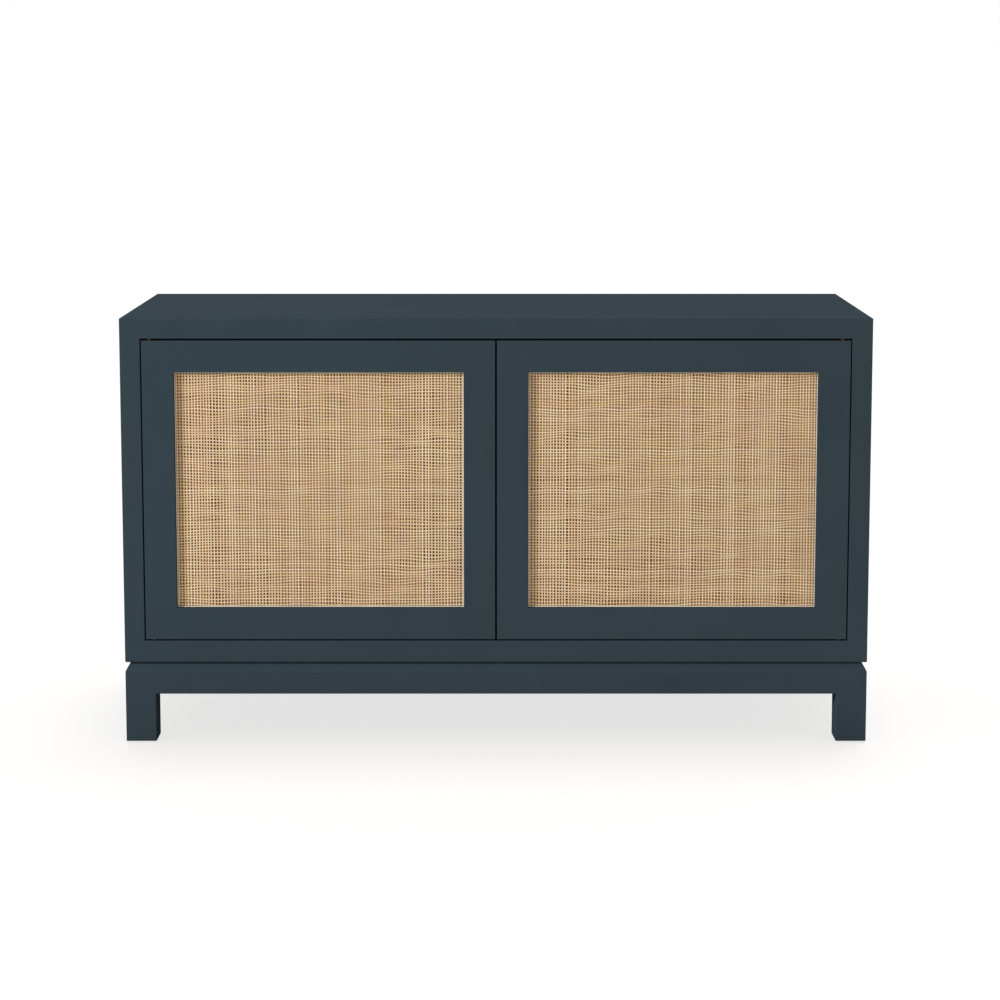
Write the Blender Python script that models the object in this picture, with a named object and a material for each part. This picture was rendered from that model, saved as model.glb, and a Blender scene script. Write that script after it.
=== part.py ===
"""A media chest: a mitred case on a four-legged base, with two inset raffia doors.

Metres, +Z up. The origin is on the floor, midway between the sides and between
front and back. The front faces -Y. The chest is shown at rest, with both doors shut.
"""

import math
from typing import NamedTuple

import bmesh
import bpy
from mathutils import Matrix, Vector

# Overall size
WIDTH = 1.220
DEPTH = 0.457
HEIGHT = 0.703

# Clearances between pieces
JOINT_GAP = 0.0003
MITRE_GAP = 0.0004
DOOR_GAP = 0.003
SHELF_END_CLEARANCE = 0.001
SLOT_END_CLEARANCE = 0.0005
BORE_CLEARANCE = 0.0004
CUT_MARGIN = 0.005
WELD = 0.000001

# Case
CASE_THICKNESS = 0.033
CASE_BOTTOM_THICKNESS = 0.037
CASE_CHAMFER_HEIGHT = 0.007
NOTCH_DEPTH = 0.007
REBATE_WIDTH = 0.010
BACK_THICKNESS = 0.009
BACK_SETBACK = 0.004
DIVIDER_THICKNESS = 0.022
DIVIDER_SETBACK = 0.004

# Base
BASE_HEIGHT = 0.134
BASE_CHAMFER_HEIGHT = 0.013
LEG_SIZE = 0.050
APRON_HEIGHT = 0.052
APRON_THICKNESS = 0.022
TENON_LENGTH = 0.018
TENON_THICKNESS = 0.010
TENON_SHOULDER = 0.006
CORNER_BLOCK_REACH = 0.088
CORNER_BLOCK_HEIGHT = 0.030
CORNER_SCREW_RADIUS = 0.003
GLIDE_RADIUS = 0.011
GLIDE_THICKNESS = 0.002
GLIDE_EDGE = 0.0008
GLIDE_STEM_RADIUS = 0.0025
GLIDE_STEM_LENGTH = 0.014

# Shelves
SHELF_THICKNESS = 0.019
SHELF_HEIGHT = 0.235
SHELF_SETBACK = 0.020
CABLE_SLOT = 0.020
PIN_HOLE_RADIUS = 0.0029
PIN_HOLE_DEPTH = 0.0085
PIN_PITCH = 0.032
PIN_ROWS_BESIDE = 2
PIN_COLUMN_INSET = 0.037
PIN_HEAD_RADIUS = 0.004
PIN_HEAD_LENGTH = 0.008
PIN_HEAD_EDGE = 0.001

# Cable ports
PORT_RADIUS = 0.030
PORT_HEIGHT = 0.105
GROMMET_WALL = 0.0035
GROMMET_FLANGE_RADIUS = 0.035
GROMMET_FLANGE_THICKNESS = 0.0025

# Doors
DOOR_THICKNESS = 0.021
STILE_WIDTH = 0.051
RAIL_WIDTH = 0.052
PANEL_RECESS = 0.008
PANEL_THICKNESS = 0.005
GROOVE_DEPTH = 0.010

# Pivot hinges
PIVOT_INSET = 0.012
PIVOT_SETBACK = 0.007
LEAF_NOSE = 0.006
LEAF_TAIL_MARGIN = 0.003
LEAF_WIDTH = 0.009
LEAF_THICKNESS = 0.0025
LEAF_SCREW_RADIUS = 0.0018
LEAF_SCREW_SPACING = 0.010
LEAF_SCREW_OFFSET = 0.010
PIVOT_PIN_RADIUS = 0.0025
PIVOT_PIN_REACH = 0.008
PIVOT_BOSS_RADIUS = 0.0042
PIN_HOLE_SPARE = 0.001

# Push-to-open latches
LATCH_DROP = 0.025
LATCH_HEIGHT = 0.018
LATCH_WIDTH = 0.013
LATCH_LENGTH = 0.045
PLUNGER_RADIUS = 0.0045
PLUNGER_LENGTH = 0.030
PLUNGER_REACH = 0.006
PLUNGER_TRAVEL = 0.003
PLUNGER_SPARE = 0.001
STRIKE_WIDTH = 0.016
STRIKE_HEIGHT = 0.040
STRIKE_THICKNESS = 0.0015

# Sides of each round piece
FINE_SIDES = 32
ROUND_SIDES = 20
SMALL_SIDES = 12

# Planes that the pieces share
SIDE = WIDTH / 2
FRONT = -DEPTH / 2
BACK = DEPTH / 2
INNER_SIDE = SIDE - CASE_THICKNESS
CASE_BASE = BASE_HEIGHT + JOINT_GAP
FLOOR = CASE_BASE + CASE_BOTTOM_THICKNESS
CEILING = HEIGHT - CASE_THICKNESS
LEG_BASE = GLIDE_THICKNESS + JOINT_GAP
APRON_BASE = BASE_HEIGHT - APRON_HEIGHT
BACK_FRONT_FACE = BACK - BACK_SETBACK - BACK_THICKNESS
BACK_REAR_FACE = BACK - BACK_SETBACK
BAY_BACK = BACK_FRONT_FACE - JOINT_GAP
DOOR_BACK = FRONT + DOOR_THICKNESS
DOOR_BASE = FLOOR + DOOR_GAP
DOOR_TOP = CEILING - DOOR_GAP
DOOR_OUTER_X = INNER_SIDE - DOOR_GAP
DOOR_INNER_X = DOOR_GAP / 2
PIVOT_X = DOOR_OUTER_X - PIVOT_INSET
PIVOT_Y = FRONT + PIVOT_SETBACK
GROOVE_FRONT = FRONT + PANEL_RECESS
GROOVE_BACK = GROOVE_FRONT + PANEL_THICKNESS + 2 * JOINT_GAP
SHELF_FRONT = DOOR_BACK + SHELF_SETBACK
SHELF_BACK = BAY_BACK - CABLE_SLOT
SHELF_BASE = FLOOR + SHELF_HEIGHT
PIN_Z = SHELF_BASE - JOINT_GAP - PIN_HEAD_RADIUS
PIN_COLUMNS = {"front": SHELF_FRONT + PIN_COLUMN_INSET, "back": SHELF_BACK - PIN_COLUMN_INSET}
PORT_Z = FLOOR + PORT_HEIGHT
LATCH_X = DIVIDER_THICKNESS / 2 + JOINT_GAP + LATCH_WIDTH / 2
LATCH_Z = CEILING - LATCH_DROP - LATCH_HEIGHT / 2
PLUNGER_TIP = DOOR_BACK + JOINT_GAP + STRIKE_THICKNESS + JOINT_GAP
LATCH_FRONT = PLUNGER_TIP + PLUNGER_REACH

HANDS = {"left": -1, "right": 1}
ENDS = {"front": -1, "back": 1}
LEVELS = {"lower": -1, "upper": 1}


class Finish(NamedTuple):
    colour: tuple
    roughness: float
    metallic: float


LACQUER = Finish((0.037, 0.056, 0.070), 0.42, 0.0)
RAFFIA = Finish((0.49, 0.34, 0.19), 0.75, 0.0)
RAW_WOOD = Finish((0.52, 0.37, 0.22), 0.70, 0.0)
NYLON = Finish((0.030, 0.031, 0.034), 0.50, 0.0)
BRASS = Finish((0.60, 0.43, 0.18), 0.32, 1.0)
STEEL = Finish((0.56, 0.57, 0.58), 0.30, 1.0)


def clear_scene():
    """Removes whatever the scene holds."""
    for item in list(bpy.data.objects):
        bpy.data.objects.remove(item, do_unlink=True)


def make_material(name, finish):
    material = bpy.data.materials.new(name)
    material.use_nodes = True
    shader = material.node_tree.nodes["Principled BSDF"]
    shader.inputs["Base Color"].default_value = (*finish.colour, 1.0)
    shader.inputs["Roughness"].default_value = finish.roughness
    shader.inputs["Metallic"].default_value = finish.metallic
    material.diffuse_color = (*finish.colour, 1.0)
    return material


def place(name, bm, parent=None):
    """Makes the object of a mesh built where it stands, with its origin at its middle."""
    corners = [vert.co for vert in bm.verts]
    low = Vector([min(corner[i] for corner in corners) for i in range(3)])
    high = Vector([max(corner[i] for corner in corners) for i in range(3)])
    middle = (low + high) / 2
    bmesh.ops.translate(bm, verts=bm.verts, vec=-middle)
    bmesh.ops.recalc_face_normals(bm, faces=bm.faces)
    mesh = bpy.data.meshes.new(name)
    bm.to_mesh(mesh)
    bm.free()
    piece = bpy.data.objects.new(name, mesh)
    bpy.context.scene.collection.objects.link(piece)
    piece.location = middle
    if parent is not None:
        piece.parent = parent
        piece.location = middle - parent.location
    return piece


def add_node(name, bm, finish, parent=None, smooth=False):
    piece = place(name, bm, parent)
    piece.data.materials.append(make_material(name, finish))
    if smooth:
        piece.data.shade_smooth()
        piece.data.set_sharp_from_angle(angle=math.radians(35))
    return piece


def cut(piece, name, bm):
    """Takes the shape in bm out of a piece, by a cutter that stays editable."""
    cutter = place(name, bm, piece.parent)
    cutter.hide_render = True
    cutter.display_type = "WIRE"
    boolean = piece.modifiers.new(name, "BOOLEAN")
    boolean.operation = "DIFFERENCE"
    boolean.solver = "EXACT"
    boolean.object = cutter
    return cutter


def cut_again(piece, cutter):
    """Takes a cutter that another piece already has out of this one too."""
    boolean = piece.modifiers.new(cutter.name, "BOOLEAN")
    boolean.operation = "DIFFERENCE"
    boolean.solver = "EXACT"
    boolean.object = cutter


def join(piece, name, bm):
    """Unites the shape in bm with a piece."""
    addition = cut(piece, name, bm)
    piece.modifiers[addition.name].operation = "UNION"


def block(x_span, y_span, z_span, bm=None):
    """A box between two values on each axis, given in either order."""
    if bm is None:
        bm = bmesh.new()
    spans = [sorted(span) for span in (x_span, y_span, z_span)]
    middle = Vector([(low + high) / 2 for low, high in spans])
    size = [high - low for low, high in spans]
    matrix = Matrix.Translation(middle) @ Matrix.Diagonal((*size, 1.0))
    bmesh.ops.create_cube(bm, size=1.0, matrix=matrix)
    return bm


def prism(outline, axis, start, end):
    """An outline in the plane square to axis, pushed along it from start to end."""
    bm = bmesh.new()
    corners = []
    for first, second in outline:
        point = [first, second]
        point.insert("XYZ".index(axis), start)
        corners.append(bm.verts.new(point))
    bm.faces.new(corners)
    pushed = bmesh.ops.extrude_face_region(bm, geom=bm.faces[:])
    moved = [item for item in pushed["geom"] if isinstance(item, bmesh.types.BMVert)]
    step = Vector((0.0, 0.0, 0.0))
    step["XYZ".index(axis)] = end - start
    bmesh.ops.translate(bm, verts=moved, vec=step)
    bmesh.ops.recalc_face_normals(bm, faces=bm.faces)
    return bm


def slice_off(bm, point, outward):
    """Cuts a convex shape by a plane and closes it, keeping the side that outward leaves."""
    geometry = bm.verts[:] + bm.edges[:] + bm.faces[:]
    found = bmesh.ops.bisect_plane(
        bm, geom=geometry, dist=WELD, plane_co=point, plane_no=outward, clear_outer=True
    )
    rim = [item for item in found["geom_cut"] if isinstance(item, bmesh.types.BMEdge)]
    bmesh.ops.contextual_create(bm, geom=rim)


def aim(point, direction):
    """The placement that turns +Z to direction and moves the origin to point."""
    turn = Vector((0.0, 0.0, 1.0)).rotation_difference(Vector(direction))
    return Matrix.Translation(point) @ turn.to_matrix().to_4x4()


def turned(profile, point, direction, sides, closed=False):
    """A (radius, height) profile spun about the line through point along direction."""
    bm = bmesh.new()
    verts = [bm.verts.new((radius, 0.0, height)) for radius, height in profile]
    for first, second in zip(verts, verts[1:]):
        bm.edges.new((first, second))
    if closed:
        bm.edges.new((verts[-1], verts[0]))
    bmesh.ops.spin(
        bm,
        geom=bm.verts[:] + bm.edges[:],
        cent=(0.0, 0.0, 0.0),
        axis=(0.0, 0.0, 1.0),
        angle=math.tau,
        steps=sides,
        use_merge=True,
    )
    bmesh.ops.remove_doubles(bm, verts=bm.verts, dist=WELD)
    bmesh.ops.transform(bm, matrix=aim(point, direction), verts=bm.verts)
    return bm


def rod(radius, start, end, point, direction, sides, bm=None):
    """A round bar from start to end along the line through point."""
    if bm is None:
        bm = bmesh.new()
    along = Matrix.Translation((0.0, 0.0, (start + end) / 2))
    bmesh.ops.create_cone(
        bm,
        cap_ends=True,
        segments=sides,
        radius1=radius,
        radius2=radius,
        depth=end - start,
        matrix=aim(point, direction) @ along,
    )
    return bm


def chamfer_meets_mitre(rise):
    """Where the case's lower chamfer meets the mitre line raised by rise, from the corner."""
    along = CASE_THICKNESS / NOTCH_DEPTH + CASE_BOTTOM_THICKNESS / CASE_CHAMFER_HEIGHT
    share = (1 - rise / CASE_CHAMFER_HEIGHT) / along
    return CASE_THICKNESS * share, CASE_BOTTOM_THICKNESS * share + rise


def chamfer_lower_edges(bm):
    """Takes the lower front and back edges off a case panel."""
    for end in ENDS.values():
        outward = Vector((0.0, end * CASE_CHAMFER_HEIGHT, -NOTCH_DEPTH))
        slice_off(bm, (0.0, end * BACK, CASE_BASE + CASE_CHAMFER_HEIGHT), outward)


def case_bottom():
    inset, rise = chamfer_meets_mitre(0.0)
    half = [
        (SIDE - NOTCH_DEPTH, CASE_BASE),
        (SIDE - inset, CASE_BASE + rise),
        (INNER_SIDE, FLOOR),
    ]
    outline = half + [(-x, z) for x, z in reversed(half)]
    bm = prism(outline, "Y", FRONT, BACK)
    chamfer_lower_edges(bm)
    return add_node("case_bottom", bm, LACQUER)


def case_top():
    half = [(INNER_SIDE, CEILING), (SIDE, HEIGHT)]
    outline = half + [(-x, z) for x, z in reversed(half)]
    return add_node("case_top", prism(outline, "Y", FRONT, BACK), LACQUER)


def case_side(name, hand):
    inset, rise = chamfer_meets_mitre(MITRE_GAP)
    outline = [
        (hand * SIDE, CASE_BASE + CASE_CHAMFER_HEIGHT),
        (hand * SIDE, HEIGHT - MITRE_GAP),
        (hand * INNER_SIDE, CEILING - MITRE_GAP),
        (hand * INNER_SIDE, FLOOR + MITRE_GAP),
        (hand * (SIDE - inset), CASE_BASE + rise),
    ]
    bm = prism(outline, "Y", FRONT, BACK)
    chamfer_lower_edges(bm)
    return add_node(name, bm, LACQUER)


def pin_holes(x, direction):
    """The blind holes that one face of a bay has, as one shape."""
    bm = bmesh.new()
    for y in PIN_COLUMNS.values():
        for row in range(-PIN_ROWS_BESIDE, PIN_ROWS_BESIDE + 1):
            point = (x, y, PIN_Z + row * PIN_PITCH)
            rod(PIN_HOLE_RADIUS, -CUT_MARGIN, PIN_HOLE_DEPTH, point, direction, SMALL_SIDES, bm)
    return bm


def leaf_span(hand):
    """From the nose to the tail of a hinge leaf, along X."""
    tail = DOOR_OUTER_X - (STILE_WIDTH - GROOVE_DEPTH - LEAF_TAIL_MARGIN)
    return hand * (PIVOT_X + LEAF_NOSE), hand * tail


def leaf_mortise(hand, face, depth):
    """The pocket for a leaf let in flush with the level face, depth metres deep along Z."""
    nose, tail = leaf_span(hand)
    x_span = (nose + hand * JOINT_GAP, tail - hand * JOINT_GAP)
    reach = LEAF_WIDTH / 2 + JOINT_GAP
    y_span = (PIVOT_Y - reach, PIVOT_Y + reach)
    level = 1 if depth > 0 else -1
    z_span = (face - level * CUT_MARGIN, face + depth + level * JOINT_GAP)
    return block(x_span, y_span, z_span)


def rebate_for_back():
    """The step that the back panel lies in, in all four case panels."""
    reach = INNER_SIDE + REBATE_WIDTH
    z_span = (FLOOR - REBATE_WIDTH, CEILING + REBATE_WIDTH)
    return block((-reach, reach), (BAY_BACK, BACK + CUT_MARGIN), z_span)


def build_case():
    bottom = case_bottom()
    top = case_top()
    sides = {name: case_side(f"case_side_{name}", hand) for name, hand in HANDS.items()}
    rebate = cut(bottom, "back_rebate", rebate_for_back())
    for panel in (top, *sides.values()):
        cut_again(panel, rebate)
    for name, hand in HANDS.items():
        cut(top, f"{name}_upper_leaf_pocket", leaf_mortise(hand, CEILING, LEAF_THICKNESS))
        cut(bottom, f"{name}_lower_leaf_pocket", leaf_mortise(hand, FLOOR, -LEAF_THICKNESS))
        holes = pin_holes(hand * INNER_SIDE, (hand, 0.0, 0.0))
        cut(sides[name], f"{name}_side_pin_holes", holes)


def build_divider():
    half = DIVIDER_THICKNESS / 2
    y_span = (DOOR_BACK + DIVIDER_SETBACK, BAY_BACK)
    z_span = (FLOOR + JOINT_GAP, CEILING - JOINT_GAP)
    divider = add_node("centre_divider", block((-half, half), y_span, z_span), LACQUER)
    for name, hand in HANDS.items():
        holes = pin_holes(hand * half, (-hand, 0.0, 0.0))
        cut(divider, f"divider_{name}_pin_holes", holes)


def bay_centre():
    """The middle of the right bay, along X."""
    return (DIVIDER_THICKNESS / 2 + INNER_SIDE) / 2


def build_back():
    reach = INNER_SIDE + REBATE_WIDTH - SLOT_END_CLEARANCE
    low = FLOOR - REBATE_WIDTH + SLOT_END_CLEARANCE
    high = CEILING + REBATE_WIDTH - SLOT_END_CLEARANCE
    panel = block((-reach, reach), (BACK_FRONT_FACE, BACK_REAR_FACE), (low, high))
    back = add_node("back_panel", panel, LACQUER)
    tube_radius = PORT_RADIUS - SLOT_END_CLEARANCE
    bore_radius = tube_radius - GROMMET_WALL
    rear = BACK_REAR_FACE + JOINT_GAP
    profile = [
        (bore_radius, BACK_FRONT_FACE),
        (tube_radius, BACK_FRONT_FACE),
        (tube_radius, rear),
        (GROMMET_FLANGE_RADIUS, rear),
        (GROMMET_FLANGE_RADIUS, rear + GROMMET_FLANGE_THICKNESS),
        (bore_radius, rear + GROMMET_FLANGE_THICKNESS),
    ]
    for name, hand in HANDS.items():
        port = (hand * bay_centre(), 0.0, PORT_Z)
        behind = (0.0, 1.0, 0.0)
        start = BACK_FRONT_FACE - CUT_MARGIN
        end = BACK_REAR_FACE + CUT_MARGIN
        hole = rod(PORT_RADIUS, start, end, port, behind, FINE_SIDES)
        cut(back, f"{name}_cable_hole", hole)
        ring = turned(profile, port, behind, FINE_SIDES, closed=True)
        add_node(f"cable_grommet_{name}", ring, NYLON, smooth=True)


def shelf_pin(face_x, y, inward):
    """A turned pin in the wall at face_x, whose head points inward."""
    shank_radius = PIN_HOLE_RADIUS - BORE_CLEARANCE
    shank_end = SLOT_END_CLEARANCE - PIN_HOLE_DEPTH
    head_start = JOINT_GAP
    head_end = head_start + PIN_HEAD_LENGTH
    profile = [
        (0.0, shank_end),
        (shank_radius, shank_end),
        (shank_radius, head_start),
        (PIN_HEAD_RADIUS, head_start),
        (PIN_HEAD_RADIUS, head_end - PIN_HEAD_EDGE),
        (PIN_HEAD_RADIUS - PIN_HEAD_EDGE, head_end),
        (0.0, head_end),
    ]
    return turned(profile, (face_x, y, PIN_Z), (inward, 0.0, 0.0), SMALL_SIDES)


def build_shelves():
    near = DIVIDER_THICKNESS / 2
    for name, hand in HANDS.items():
        x_span = (hand * (near + SHELF_END_CLEARANCE), hand * (INNER_SIDE - SHELF_END_CLEARANCE))
        z_span = (SHELF_BASE, SHELF_BASE + SHELF_THICKNESS)
        add_node(f"shelf_{name}", block(x_span, (SHELF_FRONT, SHELF_BACK), z_span), LACQUER)
        for wall, face_x, inward in (
            ("side", hand * INNER_SIDE, -hand),
            ("divider", hand * near, hand),
        ):
            for place_name, y in PIN_COLUMNS.items():
                pin = shelf_pin(face_x, y, inward)
                add_node(f"shelf_pin_{name}_{wall}_{place_name}", pin, STEEL, smooth=True)


def chamfer_base_edge(bm, axis, end):
    """Takes the top outer edge off a leg or an apron on the side that axis and end name."""
    reach = SIDE if axis == "X" else BACK
    outward = Vector((0.0, 0.0, NOTCH_DEPTH))
    outward["XYZ".index(axis)] = end * BASE_CHAMFER_HEIGHT
    point = Vector((0.0, 0.0, BASE_HEIGHT - BASE_CHAMFER_HEIGHT))
    point["XYZ".index(axis)] = end * reach
    slice_off(bm, point, outward)


def tenon_z():
    """The tenons' lower and upper faces."""
    low = APRON_BASE + TENON_SHOULDER
    high = BASE_HEIGHT - BASE_CHAMFER_HEIGHT - TENON_SHOULDER
    return low, high


def tenon_block(axis, hand, end, clearance, end_clearance):
    """The tenon, or with clearances the mortise, of the apron along axis in one leg."""
    low, high = tenon_z()
    z_span = (low - clearance, high + clearance)
    near = (APRON_THICKNESS - TENON_THICKNESS) / 2 - clearance
    far = (APRON_THICKNESS + TENON_THICKNESS) / 2 + clearance
    inner = LEG_SIZE + CUT_MARGIN
    outer = LEG_SIZE - TENON_LENGTH - end_clearance
    if axis == "X":
        x_span = (hand * (SIDE - outer), hand * (SIDE - inner))
        y_span = (end * (BACK - near), end * (BACK - far))
    else:
        x_span = (hand * (SIDE - near), hand * (SIDE - far))
        y_span = (end * (BACK - outer), end * (BACK - inner))
    return block(x_span, y_span, z_span)


def build_leg(name, hand, end):
    x_span = (hand * (SIDE - LEG_SIZE), hand * SIDE)
    y_span = (end * (BACK - LEG_SIZE), end * BACK)
    bm = block(x_span, y_span, (LEG_BASE, BASE_HEIGHT))
    chamfer_base_edge(bm, "X", hand)
    chamfer_base_edge(bm, "Y", end)
    leg = add_node(f"leg_{name}", bm, LACQUER)
    for axis in "XY":
        mortise = tenon_block(axis, hand, end, JOINT_GAP, SLOT_END_CLEARANCE)
        cut(leg, f"{name}_mortise_{axis.lower()}", mortise)
    foot = (hand * (SIDE - LEG_SIZE / 2), end * (BACK - LEG_SIZE / 2), 0.0)
    stem_hole = rod(
        GLIDE_STEM_RADIUS + BORE_CLEARANCE,
        LEG_BASE - CUT_MARGIN,
        GLIDE_STEM_LENGTH + SLOT_END_CLEARANCE,
        foot,
        (0.0, 0.0, 1.0),
        SMALL_SIDES,
    )
    cut(leg, f"{name}_stem_hole", stem_hole)
    profile = [
        (0.0, 0.0),
        (GLIDE_RADIUS - GLIDE_EDGE, 0.0),
        (GLIDE_RADIUS, GLIDE_EDGE),
        (GLIDE_RADIUS, GLIDE_THICKNESS),
        (GLIDE_STEM_RADIUS, GLIDE_THICKNESS),
        (GLIDE_STEM_RADIUS, GLIDE_STEM_LENGTH),
        (0.0, GLIDE_STEM_LENGTH),
    ]
    glide = turned(profile, foot, (0.0, 0.0, 1.0), ROUND_SIDES)
    add_node(f"foot_glide_{name}", glide, NYLON, smooth=True)


def build_corner_block(name, hand, end):
    """A brace behind the leg, against both aprons, with a screw hole up into the case."""
    near = APRON_THICKNESS + JOINT_GAP
    notch = LEG_SIZE + JOINT_GAP
    far = APRON_THICKNESS + CORNER_BLOCK_REACH
    insets = [(notch, near), (far, near), (near, far), (near, notch), (notch, notch)]
    outline = [(hand * (SIDE - x), end * (BACK - y)) for x, y in insets]
    bm = prism(outline, "Z", BASE_HEIGHT - CORNER_BLOCK_HEIGHT, BASE_HEIGHT)
    brace = add_node(f"corner_block_{name}", bm, RAW_WOOD)
    middle = (notch + (near + far) / 2) / 2
    point = (hand * (SIDE - middle), end * (BACK - middle), BASE_HEIGHT)
    hole = rod(
        CORNER_SCREW_RADIUS,
        -CORNER_BLOCK_HEIGHT - CUT_MARGIN,
        CUT_MARGIN,
        point,
        (0.0, 0.0, 1.0),
        SMALL_SIDES,
    )
    cut(brace, f"{name}_block_screw_hole", hole)


def build_apron(name, axis, end):
    """The apron along axis on one side of the chest, with a tenon at each end."""
    z_span = (APRON_BASE, BASE_HEIGHT)
    if axis == "X":
        length = SIDE - LEG_SIZE - JOINT_GAP
        y_span = (end * BACK, end * (BACK - APRON_THICKNESS))
        bm = block((-length, length), y_span, z_span)
        chamfer_base_edge(bm, "Y", end)
    else:
        length = BACK - LEG_SIZE - JOINT_GAP
        x_span = (end * SIDE, end * (SIDE - APRON_THICKNESS))
        bm = block(x_span, (-length, length), z_span)
        chamfer_base_edge(bm, "X", end)
    apron = add_node(f"apron_{name}", bm, LACQUER)
    for side_name, side in HANDS.items():
        hand, depth_end = (side, end) if axis == "X" else (end, side)
        tenon = tenon_block(axis, hand, depth_end, 0.0, 0.0)
        join(apron, f"{name}_{side_name}_tenon", tenon)


def build_base():
    for end_name, end in ENDS.items():
        build_apron(end_name, "X", end)
        for hand_name, hand in HANDS.items():
            build_leg(f"{end_name}_{hand_name}", hand, end)
            build_corner_block(f"{end_name}_{hand_name}", hand, end)
    for hand_name, hand in HANDS.items():
        build_apron(hand_name, "Y", hand)


def add_axis(name, point):
    """An empty that a moving piece hangs on, at its joint."""
    empty = bpy.data.objects.new(name, None)
    bpy.context.scene.collection.objects.link(empty)
    empty.location = point
    return empty


def stile(hand, outer, inner):
    """An upright of the door frame, grooved along its inner edge, which faces the panel."""
    bottom = inner - math.copysign(GROOVE_DEPTH, inner - outer)
    outline = [
        (hand * outer, FRONT),
        (hand * inner, FRONT),
        (hand * inner, GROOVE_FRONT),
        (hand * bottom, GROOVE_FRONT),
        (hand * bottom, GROOVE_BACK),
        (hand * inner, GROOVE_BACK),
        (hand * inner, DOOR_BACK),
        (hand * outer, DOOR_BACK),
    ]
    return prism(outline, "Z", DOOR_BASE, DOOR_TOP)


def rail(outer, level, start, end):
    """A crosspiece of the door frame, grooved along its inner edge. level is 1 at the top."""
    inner = outer - level * RAIL_WIDTH
    bottom = inner + level * GROOVE_DEPTH
    outline = [
        (FRONT, outer),
        (FRONT, inner),
        (GROOVE_FRONT, inner),
        (GROOVE_FRONT, bottom),
        (GROOVE_BACK, bottom),
        (GROOVE_BACK, inner),
        (DOOR_BACK, inner),
        (DOOR_BACK, outer),
    ]
    return prism(outline, "X", start, end)


def build_door_frame(name, hand, axis):
    """The stiles, rails and panel of one door. Returns the hinge stile."""
    panel_outer = DOOR_OUTER_X - STILE_WIDTH
    panel_inner = DOOR_INNER_X + STILE_WIDTH
    hinge_stile = stile(hand, DOOR_OUTER_X, panel_outer)
    hinge_stile = add_node(f"{name}_door_hinge_stile", hinge_stile, LACQUER, axis)
    latch_stile = stile(hand, DOOR_INNER_X, panel_inner)
    add_node(f"{name}_door_latch_stile", latch_stile, LACQUER, axis)
    tongue = GROOVE_DEPTH - SLOT_END_CLEARANCE
    tongue_y = (GROOVE_FRONT + JOINT_GAP, GROOVE_BACK - JOINT_GAP)
    tongue_x = (hand * (panel_outer + tongue), hand * (panel_inner - tongue))
    for rail_name, outer, level in (("top", DOOR_TOP, 1), ("bottom", DOOR_BASE, -1)):
        start = hand * (panel_outer - JOINT_GAP)
        end = hand * (panel_inner + JOINT_GAP)
        bm = rail(outer, level, start, end)
        piece = add_node(f"{name}_door_{rail_name}_rail", bm, LACQUER, axis)
        tongue_z = (outer, outer - level * (RAIL_WIDTH - GROOVE_DEPTH))
        join(piece, f"{name}_{rail_name}_rail_tenons", block(tongue_x, tongue_y, tongue_z))
    panel_z = (DOOR_BASE + RAIL_WIDTH - tongue, DOOR_TOP - RAIL_WIDTH + tongue)
    panel = block(tongue_x, tongue_y, panel_z)
    add_node(f"{name}_door_raffia_panel", panel, RAFFIA, axis)
    return hinge_stile


def leaf_screw_holes(hand, z_low, z_high):
    """The two screw holes of a hinge leaf, behind its pivot."""
    bm = bmesh.new()
    for step in range(2):
        x = hand * (PIVOT_X - LEAF_SCREW_OFFSET - step * LEAF_SCREW_SPACING)
        rod(LEAF_SCREW_RADIUS, z_low, z_high, (x, PIVOT_Y, 0.0), (0.0, 0.0, 1.0), SMALL_SIDES, bm)
    return bm


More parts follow.
